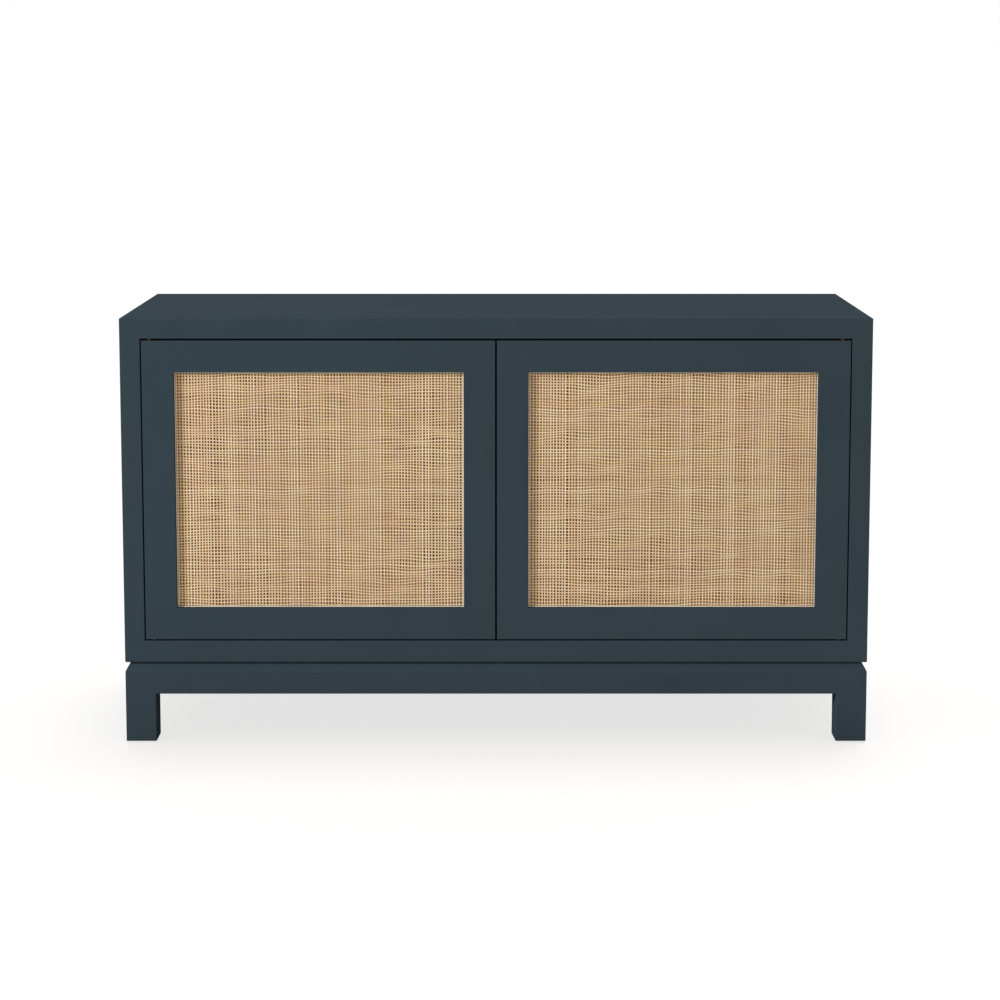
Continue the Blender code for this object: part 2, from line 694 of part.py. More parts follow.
def build_hinge(name, hand, level_name, level, axis, hinge_stile):
    """A pivot hinge at the top (level 1) or bottom of a door: two leaves and their pockets."""
    case_face = CEILING if level > 0 else FLOOR
    door_face = DOOR_TOP if level > 0 else DOOR_BASE
    y_span = (PIVOT_Y - LEAF_WIDTH / 2, PIVOT_Y + LEAF_WIDTH / 2)
    label = f"{name}_{level_name}"

    case_z = (case_face, case_face + level * LEAF_THICKNESS)
    case_leaf = add_node(f"{label}_hinge_case_leaf", block(leaf_span(hand), y_span, case_z), BRASS)
    point = (hand * PIVOT_X, PIVOT_Y, case_face)
    rooted = -LEAF_THICKNESS / 2
    boss_end = DOOR_GAP - JOINT_GAP
    pin_end = DOOR_GAP + LEAF_THICKNESS + PIVOT_PIN_REACH
    profile = [
        (0.0, rooted),
        (PIVOT_BOSS_RADIUS, rooted),
        (PIVOT_BOSS_RADIUS, boss_end),
        (PIVOT_PIN_RADIUS, boss_end),
        (PIVOT_PIN_RADIUS, pin_end),
        (0.0, pin_end),
    ]
    pin = turned(profile, point, (0.0, 0.0, -level), ROUND_SIDES)
    join(case_leaf, f"{label}_pivot_pin", pin)
    low, high = min(case_z) - CUT_MARGIN, max(case_z) + CUT_MARGIN
    cut(case_leaf, f"{label}_case_leaf_holes", leaf_screw_holes(hand, low, high))

    door_z = (door_face, door_face - level * LEAF_THICKNESS)
    door_plate = block(leaf_span(hand), y_span, door_z)
    door_leaf = add_node(f"{label}_hinge_door_leaf", door_plate, BRASS, axis)
    low, high = min(door_z) - CUT_MARGIN, max(door_z) + CUT_MARGIN
    holes = leaf_screw_holes(hand, low, high)
    bore = PIVOT_PIN_RADIUS + BORE_CLEARANCE
    pivot = (hand * PIVOT_X, PIVOT_Y, 0.0)
    rod(bore, low, high, pivot, (0.0, 0.0, 1.0), ROUND_SIDES, holes)
    cut(door_leaf, f"{label}_door_leaf_holes", holes)

    pocket = leaf_mortise(hand, door_face, -level * LEAF_THICKNESS)
    cut(hinge_stile, f"{label}_stile_pocket", pocket)
    depth = pin_end + PIN_HOLE_SPARE
    pin_hole = rod(bore, 0.0, depth, point, (0.0, 0.0, -level), ROUND_SIDES)
    cut(hinge_stile, f"{label}_stile_pin_hole", pin_hole)


def build_latch(name, hand, axis):
    """A push latch on the divider, its plunger, and the strike plate on the door."""
    x = hand * LATCH_X
    strike_x = (x - STRIKE_WIDTH / 2, x + STRIKE_WIDTH / 2)
    strike_y = (DOOR_BACK + JOINT_GAP, DOOR_BACK + JOINT_GAP + STRIKE_THICKNESS)
    strike_z = (LATCH_Z - STRIKE_HEIGHT / 2, LATCH_Z + STRIKE_HEIGHT / 2)
    add_node(f"{name}_strike_plate", block(strike_x, strike_y, strike_z), STEEL, axis)

    body_x = (x - LATCH_WIDTH / 2, x + LATCH_WIDTH / 2)
    body_y = (LATCH_FRONT, LATCH_FRONT + LATCH_LENGTH)
    body_z = (LATCH_Z - LATCH_HEIGHT / 2, LATCH_Z + LATCH_HEIGHT / 2)
    body = add_node(f"{name}_touch_latch_body", block(body_x, body_y, body_z), NYLON)
    bore_end = PLUNGER_LENGTH + PLUNGER_TRAVEL + PLUNGER_SPARE
    tip = (x, PLUNGER_TIP, LATCH_Z)
    behind = (0.0, 1.0, 0.0)
    bore_radius = PLUNGER_RADIUS + BORE_CLEARANCE
    start = PLUNGER_REACH - CUT_MARGIN
    cut(body, f"{name}_latch_bore", rod(bore_radius, start, bore_end, tip, behind, ROUND_SIDES))

    travel = add_axis(f"{name}_latch_travel", tip)
    nose = PLUNGER_RADIUS / 4
    profile = [
        (0.0, 0.0),
        (PLUNGER_RADIUS - nose, 0.0),
        (PLUNGER_RADIUS, nose),
        (PLUNGER_RADIUS, PLUNGER_LENGTH),
        (0.0, PLUNGER_LENGTH),
    ]
    plunger = turned(profile, tip, behind, ROUND_SIDES)
    add_node(f"{name}_latch_plunger", plunger, STEEL, travel, smooth=True)


def build_doors():
    for name, hand in HANDS.items():
        axis = add_axis(f"{name}_door_axis", (hand * PIVOT_X, PIVOT_Y, DOOR_BASE))
        hinge_stile = build_door_frame(name, hand, axis)
        for level_name, level in LEVELS.items():
            build_hinge(name, hand, level_name, level, axis, hinge_stile)
        build_latch(name, hand, axis)


def main():
    clear_scene()
    build_case()
    build_divider()
    build_back()
    build_shelves()
    build_base()
    build_doors()


main()
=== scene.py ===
"""The looks of a media chest: a slate-lacquered case on four legs, with two woven raffia doors.

Metres, +Z up. The front faces -Y and the origin is on the floor under the middle of the chest.
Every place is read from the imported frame, so the pieces fit the bodies that carry them.
"""

import logging
import math
from collections.abc import Callable, Iterable
from dataclasses import dataclass
from enum import Enum

import bmesh
import bpy
import numpy as np
from mathutils import Matrix, Vector


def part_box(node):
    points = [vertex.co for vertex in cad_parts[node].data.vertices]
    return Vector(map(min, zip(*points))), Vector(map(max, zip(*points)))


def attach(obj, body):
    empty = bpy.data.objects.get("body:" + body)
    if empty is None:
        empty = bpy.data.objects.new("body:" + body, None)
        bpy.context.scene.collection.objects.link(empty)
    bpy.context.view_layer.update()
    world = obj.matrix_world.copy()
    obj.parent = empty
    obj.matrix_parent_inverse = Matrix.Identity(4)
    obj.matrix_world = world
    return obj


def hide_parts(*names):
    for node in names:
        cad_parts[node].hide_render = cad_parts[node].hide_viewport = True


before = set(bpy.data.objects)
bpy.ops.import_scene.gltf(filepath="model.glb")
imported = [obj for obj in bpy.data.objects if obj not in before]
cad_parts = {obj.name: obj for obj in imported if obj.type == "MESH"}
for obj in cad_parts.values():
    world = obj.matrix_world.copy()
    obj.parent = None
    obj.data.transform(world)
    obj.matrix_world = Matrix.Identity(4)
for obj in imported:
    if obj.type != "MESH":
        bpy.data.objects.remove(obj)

log = logging.getLogger("media_chest")

FLOOR = "studio_floor"
# The attribute of each reed's own tone, with painted shade that darkens its rims.
TONE_AND_RIM_SHADE = "reed_tone"
WHITE = (1.0, 1.0, 1.0, 1.0)
NORMAL_TO = {
    "X": Vector((1.0, 0.0, 0.0)),
    "Y": Vector((0.0, 1.0, 0.0)),
    "Z": Vector((0.0, 0.0, 1.0)),
}

# Points nearer than WELD are one point, and a cutter starts OVERCUT outside what it cuts.
WELD = 0.000001
OVERCUT = 0.005
JOINT_GAP = 0.0003

# Edges shorter or blunter than these stay sharp, and smooth shading ends at SMOOTH_UP_TO.
SHORTEST_ROUNDED = 0.006
BLUNTEST_ROUNDED = math.radians(20)
ROUNDING_STEPS = 3
SMOOTH_UP_TO = math.radians(35)
FLAT = math.radians(1)

# Nearly all of a noise texture lies in this span.
NOISE_SPAN = (0.3, 0.7)

# What a weave adds to its seed for the shapes of its reeds, and for their tones.
SHAPE_DRAW = 7
TONE_DRAW = 31

Pair = tuple[float, float]
Triple = tuple[float, float, float]
Box = tuple[Vector, Vector]
Cut = tuple[Vector, Vector]
Shape = bmesh.types.BMesh
Socket = bpy.types.NodeSocket
Inputs = bpy.types.NodeInputs


class Hand(Enum):
    """The left or right half of the chest, with its sign along X."""

    LEFT = -1
    RIGHT = 1


class End(Enum):
    """The front or back of the chest, with its sign along Y."""

    FRONT = -1
    BACK = 1


class Level(Enum):
    """The lower or upper end of a door, with its sign along Z."""

    LOWER = -1
    UPPER = 1


class Reed(Enum):
    """The two directions of the raffia, with the axis that each runs along."""

    WARP = 2
    WEFT = 0


def label(side: Enum) -> str:
    """The name of an option as the frame's nodes write it."""
    return side.name.lower()


# Node trees


@dataclass
class Wiring:
    """One node tree, with a short way to add and link its nodes.

    Args:
        tree: the tree of a material, a world or a node group.
    """

    tree: bpy.types.NodeTree

    def node(self, kind: str, feeds: dict | None = None, **settings: object) -> bpy.types.Node:
        """Adds a node.

        Args:
            kind: its type, without the ShaderNode prefix.
            feeds: for each input, by name or number, a socket to link or a value to set.
            settings: the node's own properties.

        Returns:
            The new node.
        """
        node = self.tree.nodes.new(f"ShaderNode{kind}")
        for name, value in settings.items():
            setattr(node, name, value)
        for name, value in (feeds or {}).items():
            self.feed(node.inputs[name], value)
        return node

    def feed(self, socket: Socket, value: object) -> None:
        """Feeds an input from another socket, or sets its value.

        Args:
            socket: the input.
            value: the socket to link it to, or the value to set.
        """
        if isinstance(value, Socket):
            self.tree.links.new(value, socket)
        else:
            socket.default_value = value

    def place(self, scale: Triple = (1.0, 1.0, 1.0)) -> Socket:
        """Reads the point on the surface, in the object's own metres.

        Args:
            scale: how much its place is stretched along each axis.

        Returns:
            The point.
        """
        point = self.node("TexCoord").outputs["Object"]
        if scale == (1.0, 1.0, 1.0):
            return point
        return self.node("Mapping", {"Vector": point, "Scale": scale}).outputs["Vector"]

    def spread(self, value: Socket, low: object, high: object) -> Socket:
        """Maps a noise mask to another span.

        Args:
            value: the mask.
            low: where the span starts, as a value or a socket.
            high: where it ends.

        Returns:
            The mapped value.
        """
        start, end = NOISE_SPAN
        feeds = {"Value": value, "From Min": start, "From Max": end, "To Min": low, "To Max": high}
        return self.node("MapRange", feeds).outputs["Result"]

    def mix(self, share: object, first: object, second: object, way: str = "MIX") -> Socket:
        """Mixes two colours, or multiplies them if that is the way."""
        # A Mix node's colour inputs are only told apart by number: 6 is A and 7 is B.
        feeds = {0: share, 6: first, 7: second}
        return self.node("Mix", feeds, data_type="RGBA", blend_type=way).outputs[2]


def start_group(
    name: str, inputs: dict[str, str], outputs: dict[str, str]
) -> tuple[bpy.types.NodeTree, Wiring, bpy.types.NodeOutputs, Inputs]:
    """Makes an empty shader node group.

    Args:
        name: the group's name.
        inputs: the type of each input, such as Float, by its name.
        outputs: the same for its outputs.

    Returns:
        The group, its wiring, what comes into it and what goes out of it.
    """
    group = bpy.data.node_groups.new(name, "ShaderNodeTree")
    for sockets, direction in ((inputs, "INPUT"), (outputs, "OUTPUT")):
        for socket, kind in sockets.items():
            group.interface.new_socket(socket, in_out=direction, socket_type=f"NodeSocket{kind}")
    start = group.nodes.new("NodeGroupInput")
    end = group.nodes.new("NodeGroupOutput")
    return group, Wiring(group), start.outputs, end.inputs


def uneven_tone() -> bpy.types.NodeTree:
    """Makes the group that drifts a colour darker and lighter, on first use.

    Returns:
        The group.
    """
    found = bpy.data.node_groups.get("uneven_tone")
    if found:
        return found
    inputs = {"Vector": "Vector", "Color": "Color", "Scale": "Float"}
    inputs |= {"Darkest": "Float", "Lightest": "Float"}
    outputs = {"Color": "Color", "Mask": "Float"}
    group, wiring, start, end = start_group("uneven_tone", inputs, outputs)
    feeds = {"Vector": start["Vector"], "Scale": start["Scale"], "Detail": 3.0}
    mask = wiring.node("TexNoise", feeds).outputs["Fac"]
    tone = wiring.spread(mask, start["Darkest"], start["Lightest"])
    wiring.feed(end["Color"], wiring.mix(1.0, start["Color"], tone, "MULTIPLY"))
    wiring.feed(end["Mask"], mask)
    return group


def surface_grain() -> bpy.types.NodeTree:
    """Makes the group that roughens a surface with a fine grain, on first use.

    Returns:
        The group.
    """
    found = bpy.data.node_groups.get("surface_grain")
    if found:
        return found
    inputs = {"Vector": "Vector", "Scale": "Float", "Strength": "Float", "Distance": "Float"}
    outputs = {"Normal": "Vector", "Mask": "Float"}
    group, wiring, start, end = start_group("surface_grain", inputs, outputs)
    feeds = {"Vector": start["Vector"], "Scale": start["Scale"], "Detail": 2.0}
    mask = wiring.node("TexNoise", feeds).outputs["Fac"]
    feeds = {"Height": mask, "Strength": start["Strength"], "Distance": start["Distance"]}
    wiring.feed(end["Normal"], wiring.node("Bump", feeds).outputs["Normal"])
    wiring.feed(end["Mask"], mask)
    return group


# Finishes


@dataclass(frozen=True)
class Grain:
    """A fine grain that roughens a surface.

    Args:
        scale: its lumps in a metre.
        strength: how much it shows.
        depth: how deep it is.
    """

    scale: float
    strength: float
    depth: float

    def on(self, wiring: Wiring, place: Socket) -> bpy.types.Node:
        """Adds the grain to a material.

        Args:
            wiring: the material's tree.
            place: the point on the surface.

        Returns:
            The group node, which puts out Normal and Mask.
        """
        feeds = {"Vector": place, "Scale": self.scale}
        feeds |= {"Strength": self.strength, "Distance": self.depth}
        return wiring.node("Group", feeds, node_tree=surface_grain())


@dataclass(frozen=True)
class Drift:
    """A slow drift of tone over a surface.

    Args:
        scale: its patches in a metre.
        darkest: the share of the colour that is left in its darkest patches.
        lightest: the same for its lightest patches.
    """

    scale: float
    darkest: float
    lightest: float

    def on(self, wiring: Wiring, place: Socket, colour: object) -> bpy.types.Node:
        """Adds the drift to a material.

        Args:
            wiring: the material's tree.
            place: the point on the surface.
            colour: the colour that drifts, as a value or a socket.

        Returns:
            The group node, which puts out Color and Mask.
        """
        feeds = {"Vector": place, "Color": colour, "Scale": self.scale}
        feeds |= {"Darkest": self.darkest, "Lightest": self.lightest}
        return wiring.node("Group", feeds, node_tree=uneven_tone())


@dataclass(frozen=True)
class Finish:
    """What a surface is finished with. Each kind adds its own nodes in dress.

    Args:
        name: the material's name.
        slot: the name of its material slot. Nothing in the script reads it.
        colour: the base colour.
        roughness: the middle roughness.
        specular: the strength of the surface's own shine.
        uneven: how far the roughness strays to each side of its middle. Below zero, it falls
            where the mask that it follows rises.
    """

    name: str
    slot: str
    colour: Triple
    roughness: float
    specular: float
    uneven: float = 0.0

    def material(self) -> bpy.types.Material:
        """Makes the finish's material on first use, and finds it after that.

        Returns:
            The material.
        """
        found = bpy.data.materials.get(self.name)
        if found:
            return found
        material = bpy.data.materials.new(self.name)
        material.use_nodes = True
        material.diffuse_color = (*self.colour, 1.0)
        shader = material.node_tree.nodes["Principled BSDF"]
        shader.inputs["Specular IOR Level"].default_value = self.specular
        self.dress(Wiring(material.node_tree), shader.inputs)
        return material

    def roughen(self, wiring: Wiring, inputs: Inputs, mask: Socket) -> None:
        """Sets the roughness, which follows a mask if it is uneven.

        Args:
            wiring: the material's tree.
            inputs: the shader's inputs.
            mask: the mask.
        """
        rough = self.roughness
        if self.uneven:
            rough = wiring.spread(mask, rough - self.uneven, rough + self.uneven)
        wiring.feed(inputs["Roughness"], rough)

    def dress(self, wiring: Wiring, inputs: Inputs) -> None:
        """Adds the nodes that give the finish its colour, roughness and grain.

        Args:
            wiring: the material's tree.
            inputs: the shader's inputs.
        """
        raise NotImplementedError


@dataclass(frozen=True, kw_only=True)
class Coat(Finish):
    """A lacquer, a moulded skin or a paper, with a drift of tone and a fine grain.

    Args:
        drifts: the drifts of its tone, at least one, each over the one before.
        grain: its orange peel, its mould's texture or its tooth.
    """

    drifts: tuple[Drift, ...]
    grain: Grain

    def dress(self, wiring: Wiring, inputs: Inputs) -> None:
        """Adds the drifts, the sheen and the grain.

        Args:
            wiring: the material's tree.
            inputs: the shader's inputs.
        """
        place = wiring.place()
        colour = (*self.colour, 1.0)
        for drift in self.drifts:
            toned = drift.on(wiring, place, colour)
            colour = toned.outputs["Color"]
        wiring.feed(inputs["Base Color"], colour)
        self.roughen(wiring, inputs, toned.outputs["Mask"])
        wiring.feed(inputs["Normal"], self.grain.on(wiring, place).outputs["Normal"])


@dataclass(frozen=True)
class Raffia(Finish):
    """Dried raffia reeds: each has its own tone, with painted shade at its rims, and fibres along
    it.

    Args:
        uneven: how far the roughness strays, downwards where the fibres are light.
        deep: the colour of the darkest reeds, and of the painted shade at every reed's rims.
        rosy: the tint of the pinkish patches.
        golden: the tint of the yellowish patches.
        stretch: the fibres in a metre along each axis.
        patches: the drift of tone over a panel.
        fibres: the drift of tone from fibre to fibre.
        ridges: the grain of the fibres.
    """

    uneven: float = -0.08
    deep: Triple = (0.56, 0.28, 0.02)
    rosy: Triple = (1.02, 0.975, 0.96)
    golden: Triple = (0.98, 1.00, 0.92)
    stretch: Triple = (60.0, 1500.0, 1500.0)
    patches: Drift = Drift(24.0, 0.93, 1.05)
    fibres: Drift = Drift(1.0, 0.88, 1.08)
    ridges: Grain = Grain(1.0, 0.35, 0.0002)

    def dress(self, wiring: Wiring, inputs: Inputs) -> None:
        """Adds the tone of each reed with its painted rim shade, the patches, the fibres and their
        ridges.

        Args:
            wiring: the material's tree.
            inputs: the shader's inputs.
        """
        # Each reed's own tone, with painted shade towards the deep colour at its rims.
        tone = wiring.node("Attribute", attribute_name=TONE_AND_RIM_SHADE).outputs["Fac"]
        reed = wiring.mix(tone, (*self.deep, 1.0), (*self.colour, 1.0))
        patchy = self.patches.on(wiring, wiring.place(), reed)
        share = wiring.spread(patchy.outputs["Mask"], 0.0, 1.0)
        tint = wiring.mix(share, (*self.rosy, 1.0), (*self.golden, 1.0))
        tinted = wiring.mix(1.0, patchy.outputs["Color"], tint, "MULTIPLY")
        along = wiring.place(self.stretch)
        fibrous = self.fibres.on(wiring, along, tinted)
        wiring.feed(inputs["Base Color"], fibrous.outputs["Color"])
        self.roughen(wiring, inputs, fibrous.outputs["Mask"])
        wiring.feed(inputs["Normal"], self.ridges.on(wiring, along).outputs["Normal"])


@dataclass(frozen=True)
class RawWood(Finish):
    """Sawn hardwood, with rings stretched along X.

    Args:
        late: the colour of the dark rings.
        stretch: how the rings are stretched along each axis.
        rings: how many rings a metre has.
        wobble: how far they stray from straight.
        drift: the drift of its tone.
        pores: the grain of its pores.
    """

    late: Triple = (0.36, 0.23, 0.12)
    stretch: Triple = (0.16, 1.0, 1.0)
    rings: float = 55.0
    wobble: float = 5.0
    drift: Drift = Drift(30.0, 0.9, 1.1)
    pores: Grain = Grain(500.0, 0.5, 0.0004)

    def dress(self, wiring: Wiring, inputs: Inputs) -> None:
        """Adds the rings, their drift and the pores.

        Args:
            wiring: the material's tree.
            inputs: the shader's inputs.
        """
        place = wiring.place(self.stretch)
        feeds = {"Vector": place, "Scale": self.rings, "Distortion": self.wobble, "Detail": 3.0}
        rings = wiring.node("TexWave", feeds, bands_direction="Y").outputs["Fac"]
        wood = wiring.mix(rings, (*self.colour, 1.0), (*self.late, 1.0))
        toned = self.drift.on(wiring, place, wood)
        wiring.feed(inputs["Base Color"], toned.outputs["Color"])
        self.roughen(wiring, inputs, toned.outputs["Mask"])
        wiring.feed(inputs["Normal"], self.pores.on(wiring, place).outputs["Normal"])


@dataclass(frozen=True)
class BrushedMetal(Finish):
    """Metal brushed along X, with streaks in its shine.

    Args:
        uneven: how far the roughness strays from stroke to stroke.
        stretch: how the brush strokes are stretched along each axis.
        tarnish: the drift of its tone.
        brush: the grain of the strokes.
    """

    uneven: float = 0.09
    stretch: Triple = (0.05, 1.0, 1.0)
    tarnish: Drift = Drift(26.0, 0.90, 1.06)
    brush: Grain = Grain(2400.0, 0.15, 0.0001)

    def dress(self, wiring: Wiring, inputs: Inputs) -> None:
        """Adds the tarnish, the streaks and their ridges.

        Args:
            wiring: the material's tree.
            inputs: the shader's inputs.
        """
        place = wiring.place()
        base = self.tarnish.on(wiring, place, (*self.colour, 1.0))
        wiring.feed(inputs["Base Color"], base.outputs["Color"])
        wiring.feed(inputs["Metallic"], 1.0)
        brushed = self.brush.on(wiring, wiring.place(self.stretch))
        self.roughen(wiring, inputs, brushed.outputs["Mask"])
        wiring.feed(inputs["Normal"], brushed.outputs["Normal"])


LACQUER = Coat(
    "slate_lacquer",
    "lacquer",
    (0.0340, 0.0500, 0.0605),
    roughness=0.65,
    specular=0.0005,
    uneven=0.04,
    drifts=(Drift(2.4, 0.965, 1.035), Drift(11.0, 0.97, 1.03)),
    grain=Grain(430.0, 0.10, 0.0004),
)
NYLON = Coat(
    "black_nylon",
    "nylon",
    (0.024, 0.025, 0.027),
    roughness=0.50,
    specular=0.40,
    uneven=0.05,
    drifts=(Drift(18.0, 0.92, 1.08),),
    grain=Grain(2600.0, 0.25, 0.0001),
)
# The paper backing behind the reeds: its near-black brown is also painted shade for the holes
# between the reeds.
RAFFIA_BACKING_AND_HOLE_SHADE = Coat(
    "raffia_backing",
    "raffia",
    (0.030, 0.010, 0.002),
    roughness=0.85,
    specular=0.02,
    drifts=(Drift(40.0, 0.80, 1.20),),
    grain=Grain(1800.0, 0.4, 0.0002),
)
REEDS = {
    Reed.WARP: Raffia(
        "raffia_warp", "raffia", (0.96, 0.90, 0.84), 0.70, 0.05, stretch=(1500.0, 1500.0, 60.0)
    ),
    Reed.WEFT: Raffia("raffia_weft", "raffia", (0.95, 0.88, 0.81), 0.70, 0.05),
}
SPLINE_REED = Raffia(
    "raffia_spline", "raffia", (0.80, 0.72, 0.62), 0.70, 0.05, deep=(0.80, 0.72, 0.62)
)
RAW_WOOD = RawWood("raw_beech", "raw_wood", (0.54, 0.39, 0.24), 0.72, 0.30)
BRASS = BrushedMetal("dark_brass", "brass", (0.050, 0.037, 0.022), 0.46, 0.50)
STEEL = BrushedMetal("nickelled_steel", "steel", (0.60, 0.60, 0.59), 0.27, 0.50)


# Shapes


def block(low: Iterable[float], high: Iterable[float]) -> Shape:
    """Makes a box between two corners.

    Args:
        low: one corner.
        high: the other one, which may be the lower one on some axes.

    Returns:
        The box.
    """
    spans = [sorted(span) for span in zip(low, high)]
    middle = Vector([(start + end) / 2 for start, end in spans])
    size = [end - start for start, end in spans]
    bm = bmesh.new()
    matrix = Matrix.Translation(middle) @ Matrix.Diagonal((*size, 1.0))
    bmesh.ops.create_cube(bm, size=1.0, matrix=matrix)
    return bm


def aim(point: Iterable[float], direction: Iterable[float]) -> Matrix:
    """The placement that turns +Z to direction and moves the origin to point."""
    turn = Vector((0.0, 0.0, 1.0)).rotation_difference(Vector(direction))
    return Matrix.Translation(Vector(point)) @ turn.to_matrix().to_4x4()


def rod(radius: float, start: float, end: float, placement: Matrix, sides: int = 24) -> Shape:
    """Makes a round bar.

    Args:
        radius: its radius.
        start: where it starts along the placement's own Z.
        end: where it ends.
        placement: where its axis goes.
        sides: the steps round it.

    Returns:
        The closed bar.
    """
    bm = bmesh.new()
    along = placement @ Matrix.Translation((0.0, 0.0, (start + end) / 2))
    bmesh.ops.create_cone(
        bm,
        cap_ends=True,
        segments=sides,
        radius1=radius,
        radius2=radius,
        depth=end - start,
        matrix=along,
    )
    return bm


def turned(profile: list[Pair], placement: Matrix, sides: int, ring: bool) -> Shape:
    """Spins a profile into a round piece.

    Args:
        profile: radius and height of each point.
        placement: where the piece's axis goes.
        sides: the steps of the spin.
        ring: whether the profile closes on itself, off the axis.

    Returns:
        The closed shape.
    """
    bm = bmesh.new()
    verts = [bm.verts.new((radius, 0.0, height)) for radius, height in profile]
    pairs = list(zip(verts, verts[1:])) + ([(verts[-1], verts[0])] if ring else [])
    for pair in pairs:
        bm.edges.new(pair)
    bmesh.ops.spin(
        bm,
        geom=bm.verts[:] + bm.edges[:],
        cent=(0.0, 0.0, 0.0),
        axis=(0.0, 0.0, 1.0),
        angle=math.tau,
        steps=sides,
        use_merge=True,
    )
    bmesh.ops.remove_doubles(bm, verts=bm.verts, dist=WELD)
    bmesh.ops.transform(bm, matrix=placement, verts=bm.verts)
    bmesh.ops.recalc_face_normals(bm, faces=bm.faces)
    return bm


def gathered(shapes: Iterable[Shape]) -> Shape:
    """Puts several shapes into one.

    Args:
        shapes: the shapes, which are freed.

    Returns:
        The one shape.
    """
    whole = bmesh.new()
    mesh = bpy.data.meshes.new("gathered")
    for shape in shapes:
        shape.to_mesh(mesh)
        whole.from_mesh(mesh)
        shape.free()
    bpy.data.meshes.remove(mesh)
    return whole


def portion(bm: Shape, cuts: Iterable[Cut]) -> Shape:
    """Copies the part of a shape behind every cut and closes it.

    Args:
        bm: the whole shape, which stays as it is.
        cuts: a point and the direction that is taken away, for each cut.

    Returns:
        The closed part.
    """
    part = bm.copy()
    for point, outward in cuts:
        geometry = part.verts[:] + part.edges[:] + part.faces[:]
        bmesh.ops.bisect_plane(
            part, geom=geometry, dist=WELD, plane_co=point, plane_no=outward, clear_outer=True
        )
        rim = [edge for edge in part.edges if edge.is_boundary]
        bmesh.ops.holes_fill(part, edges=rim, sides=0)
    return part


def lies_at(part: bmesh.types.BMEdge | bmesh.types.BMFace, height: float) -> bool:
    """Whether an edge or a face lies level at a height."""
    return all(abs(vert.co.z - height) < WELD for vert in part.verts)


def arris_cuts(profile: list[Pair], planes: "Outline") -> list[Cut]:
    """The planes that roll an outer edge of the case or the base in, all round.

    Args:
        profile: how far in from the outer face, and at what height, each point of the edge is.
        planes: the shared planes.

    Returns:
        The cuts, four for each step of the profile.
    """
    cuts = []
    for (depth, height), (deeper, farther) in zip(profile, profile[1:]):
        steep = abs(farther - height)
        slope = math.copysign(deeper - depth, farther - height)
        for sign in (-1, 1):
            side = Vector((sign * (planes.side - depth), 0.0, height))
            cuts.append((side, Vector((sign * steep, 0.0, slope))))
            face = Vector((0.0, sign * (planes.back - depth), height))
            cuts.append((face, Vector((0.0, sign * steep, slope))))
    return cuts


def round_edges(
    bm: Shape, radius: float, wanted: Callable[[bmesh.types.BMEdge], bool] | None = None
) -> None:
    """Rounds the long convex edges of a shape.

    Args:
        bm: the shape.
        radius: the width of the rounding.
        wanted: a test that an edge has to pass too.
    """
    edges = [
        edge
        for edge in bm.edges
        if edge.calc_length() > SHORTEST_ROUNDED
        and edge.calc_face_angle_signed(0.0) > BLUNTEST_ROUNDED
        and (wanted is None or wanted(edge))
    ]
    bmesh.ops.bevel(
        bm,
        geom=edges,
        offset=radius,
        offset_type="OFFSET",
        segments=ROUNDING_STEPS,
        profile=0.5,
        affect="EDGES",
        clamp_overlap=True,
        material=-1,
    )


# Pieces


def linked(name: str, data: bpy.types.ID) -> bpy.types.Object:
    """Puts an object in the scene.

    Args:
        name: its name.
        data: its mesh, curve, lamp or camera.

    Returns:
        The object, at the origin.
    """
    holder = bpy.data.objects.new(name, data)
    bpy.context.scene.collection.objects.link(holder)
    return holder


def loose_object(name: str, bm: Shape) -> bpy.types.Object:
    """Makes an object of a shape.

    Args:
        name: its name.
        bm: the shape, which is freed.

    Returns:
        The object, at the origin.
    """
    mesh = bpy.data.meshes.new(name)
    bm.to_mesh(mesh)
    bm.free()
    return linked(name, mesh)


def worked_out(piece: bpy.types.Object) -> Shape:
    """Reads an object's shape with its modifiers or its curve worked out.

    Args:
        piece: the object.

    Returns:
        The shape.
    """
    evaluated = piece.evaluated_get(bpy.context.evaluated_depsgraph_get())
    mesh = bpy.data.meshes.new_from_object(evaluated)
    bm = bmesh.new()
    bm.from_mesh(mesh)
    bpy.data.meshes.remove(mesh)
    return bm


def combined(bm: Shape, tool: Shape, operation: str = "DIFFERENCE") -> Shape:
    """Cuts a tool out of a shape, or unites them, with the exact solver.

    Args:
        bm: the shape, which is freed.
        tool: the tool, which is freed too.
        operation: DIFFERENCE or UNION.

    Returns:
        The result.
    """
    bmesh.ops.recalc_face_normals(bm, faces=bm.faces)
    bmesh.ops.recalc_face_normals(tool, faces=tool.faces)
    body = loose_object("body", bm)
    cutter = loose_object("cutter", tool)
    boolean = body.modifiers.new("cut", "BOOLEAN")
    boolean.operation = operation
    boolean.solver = "EXACT"
    boolean.object = cutter
    result = worked_out(body)
    for spare in (body.data, cutter.data):
        bpy.data.meshes.remove(spare)
    return result


def merged_copy(node: str) -> Shape:
    """Copies a CAD node, with its triangles merged into flat faces.

    Args:
        node: the node's name.

    Returns:
        The copy.
    """
    bm = bmesh.new()
    bm.from_mesh(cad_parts[node].data)
    bmesh.ops.remove_doubles(bm, verts=bm.verts, dist=WELD)
    bmesh.ops.dissolve_limit(bm, angle_limit=FLAT, verts=bm.verts, edges=bm.edges)
    return bm


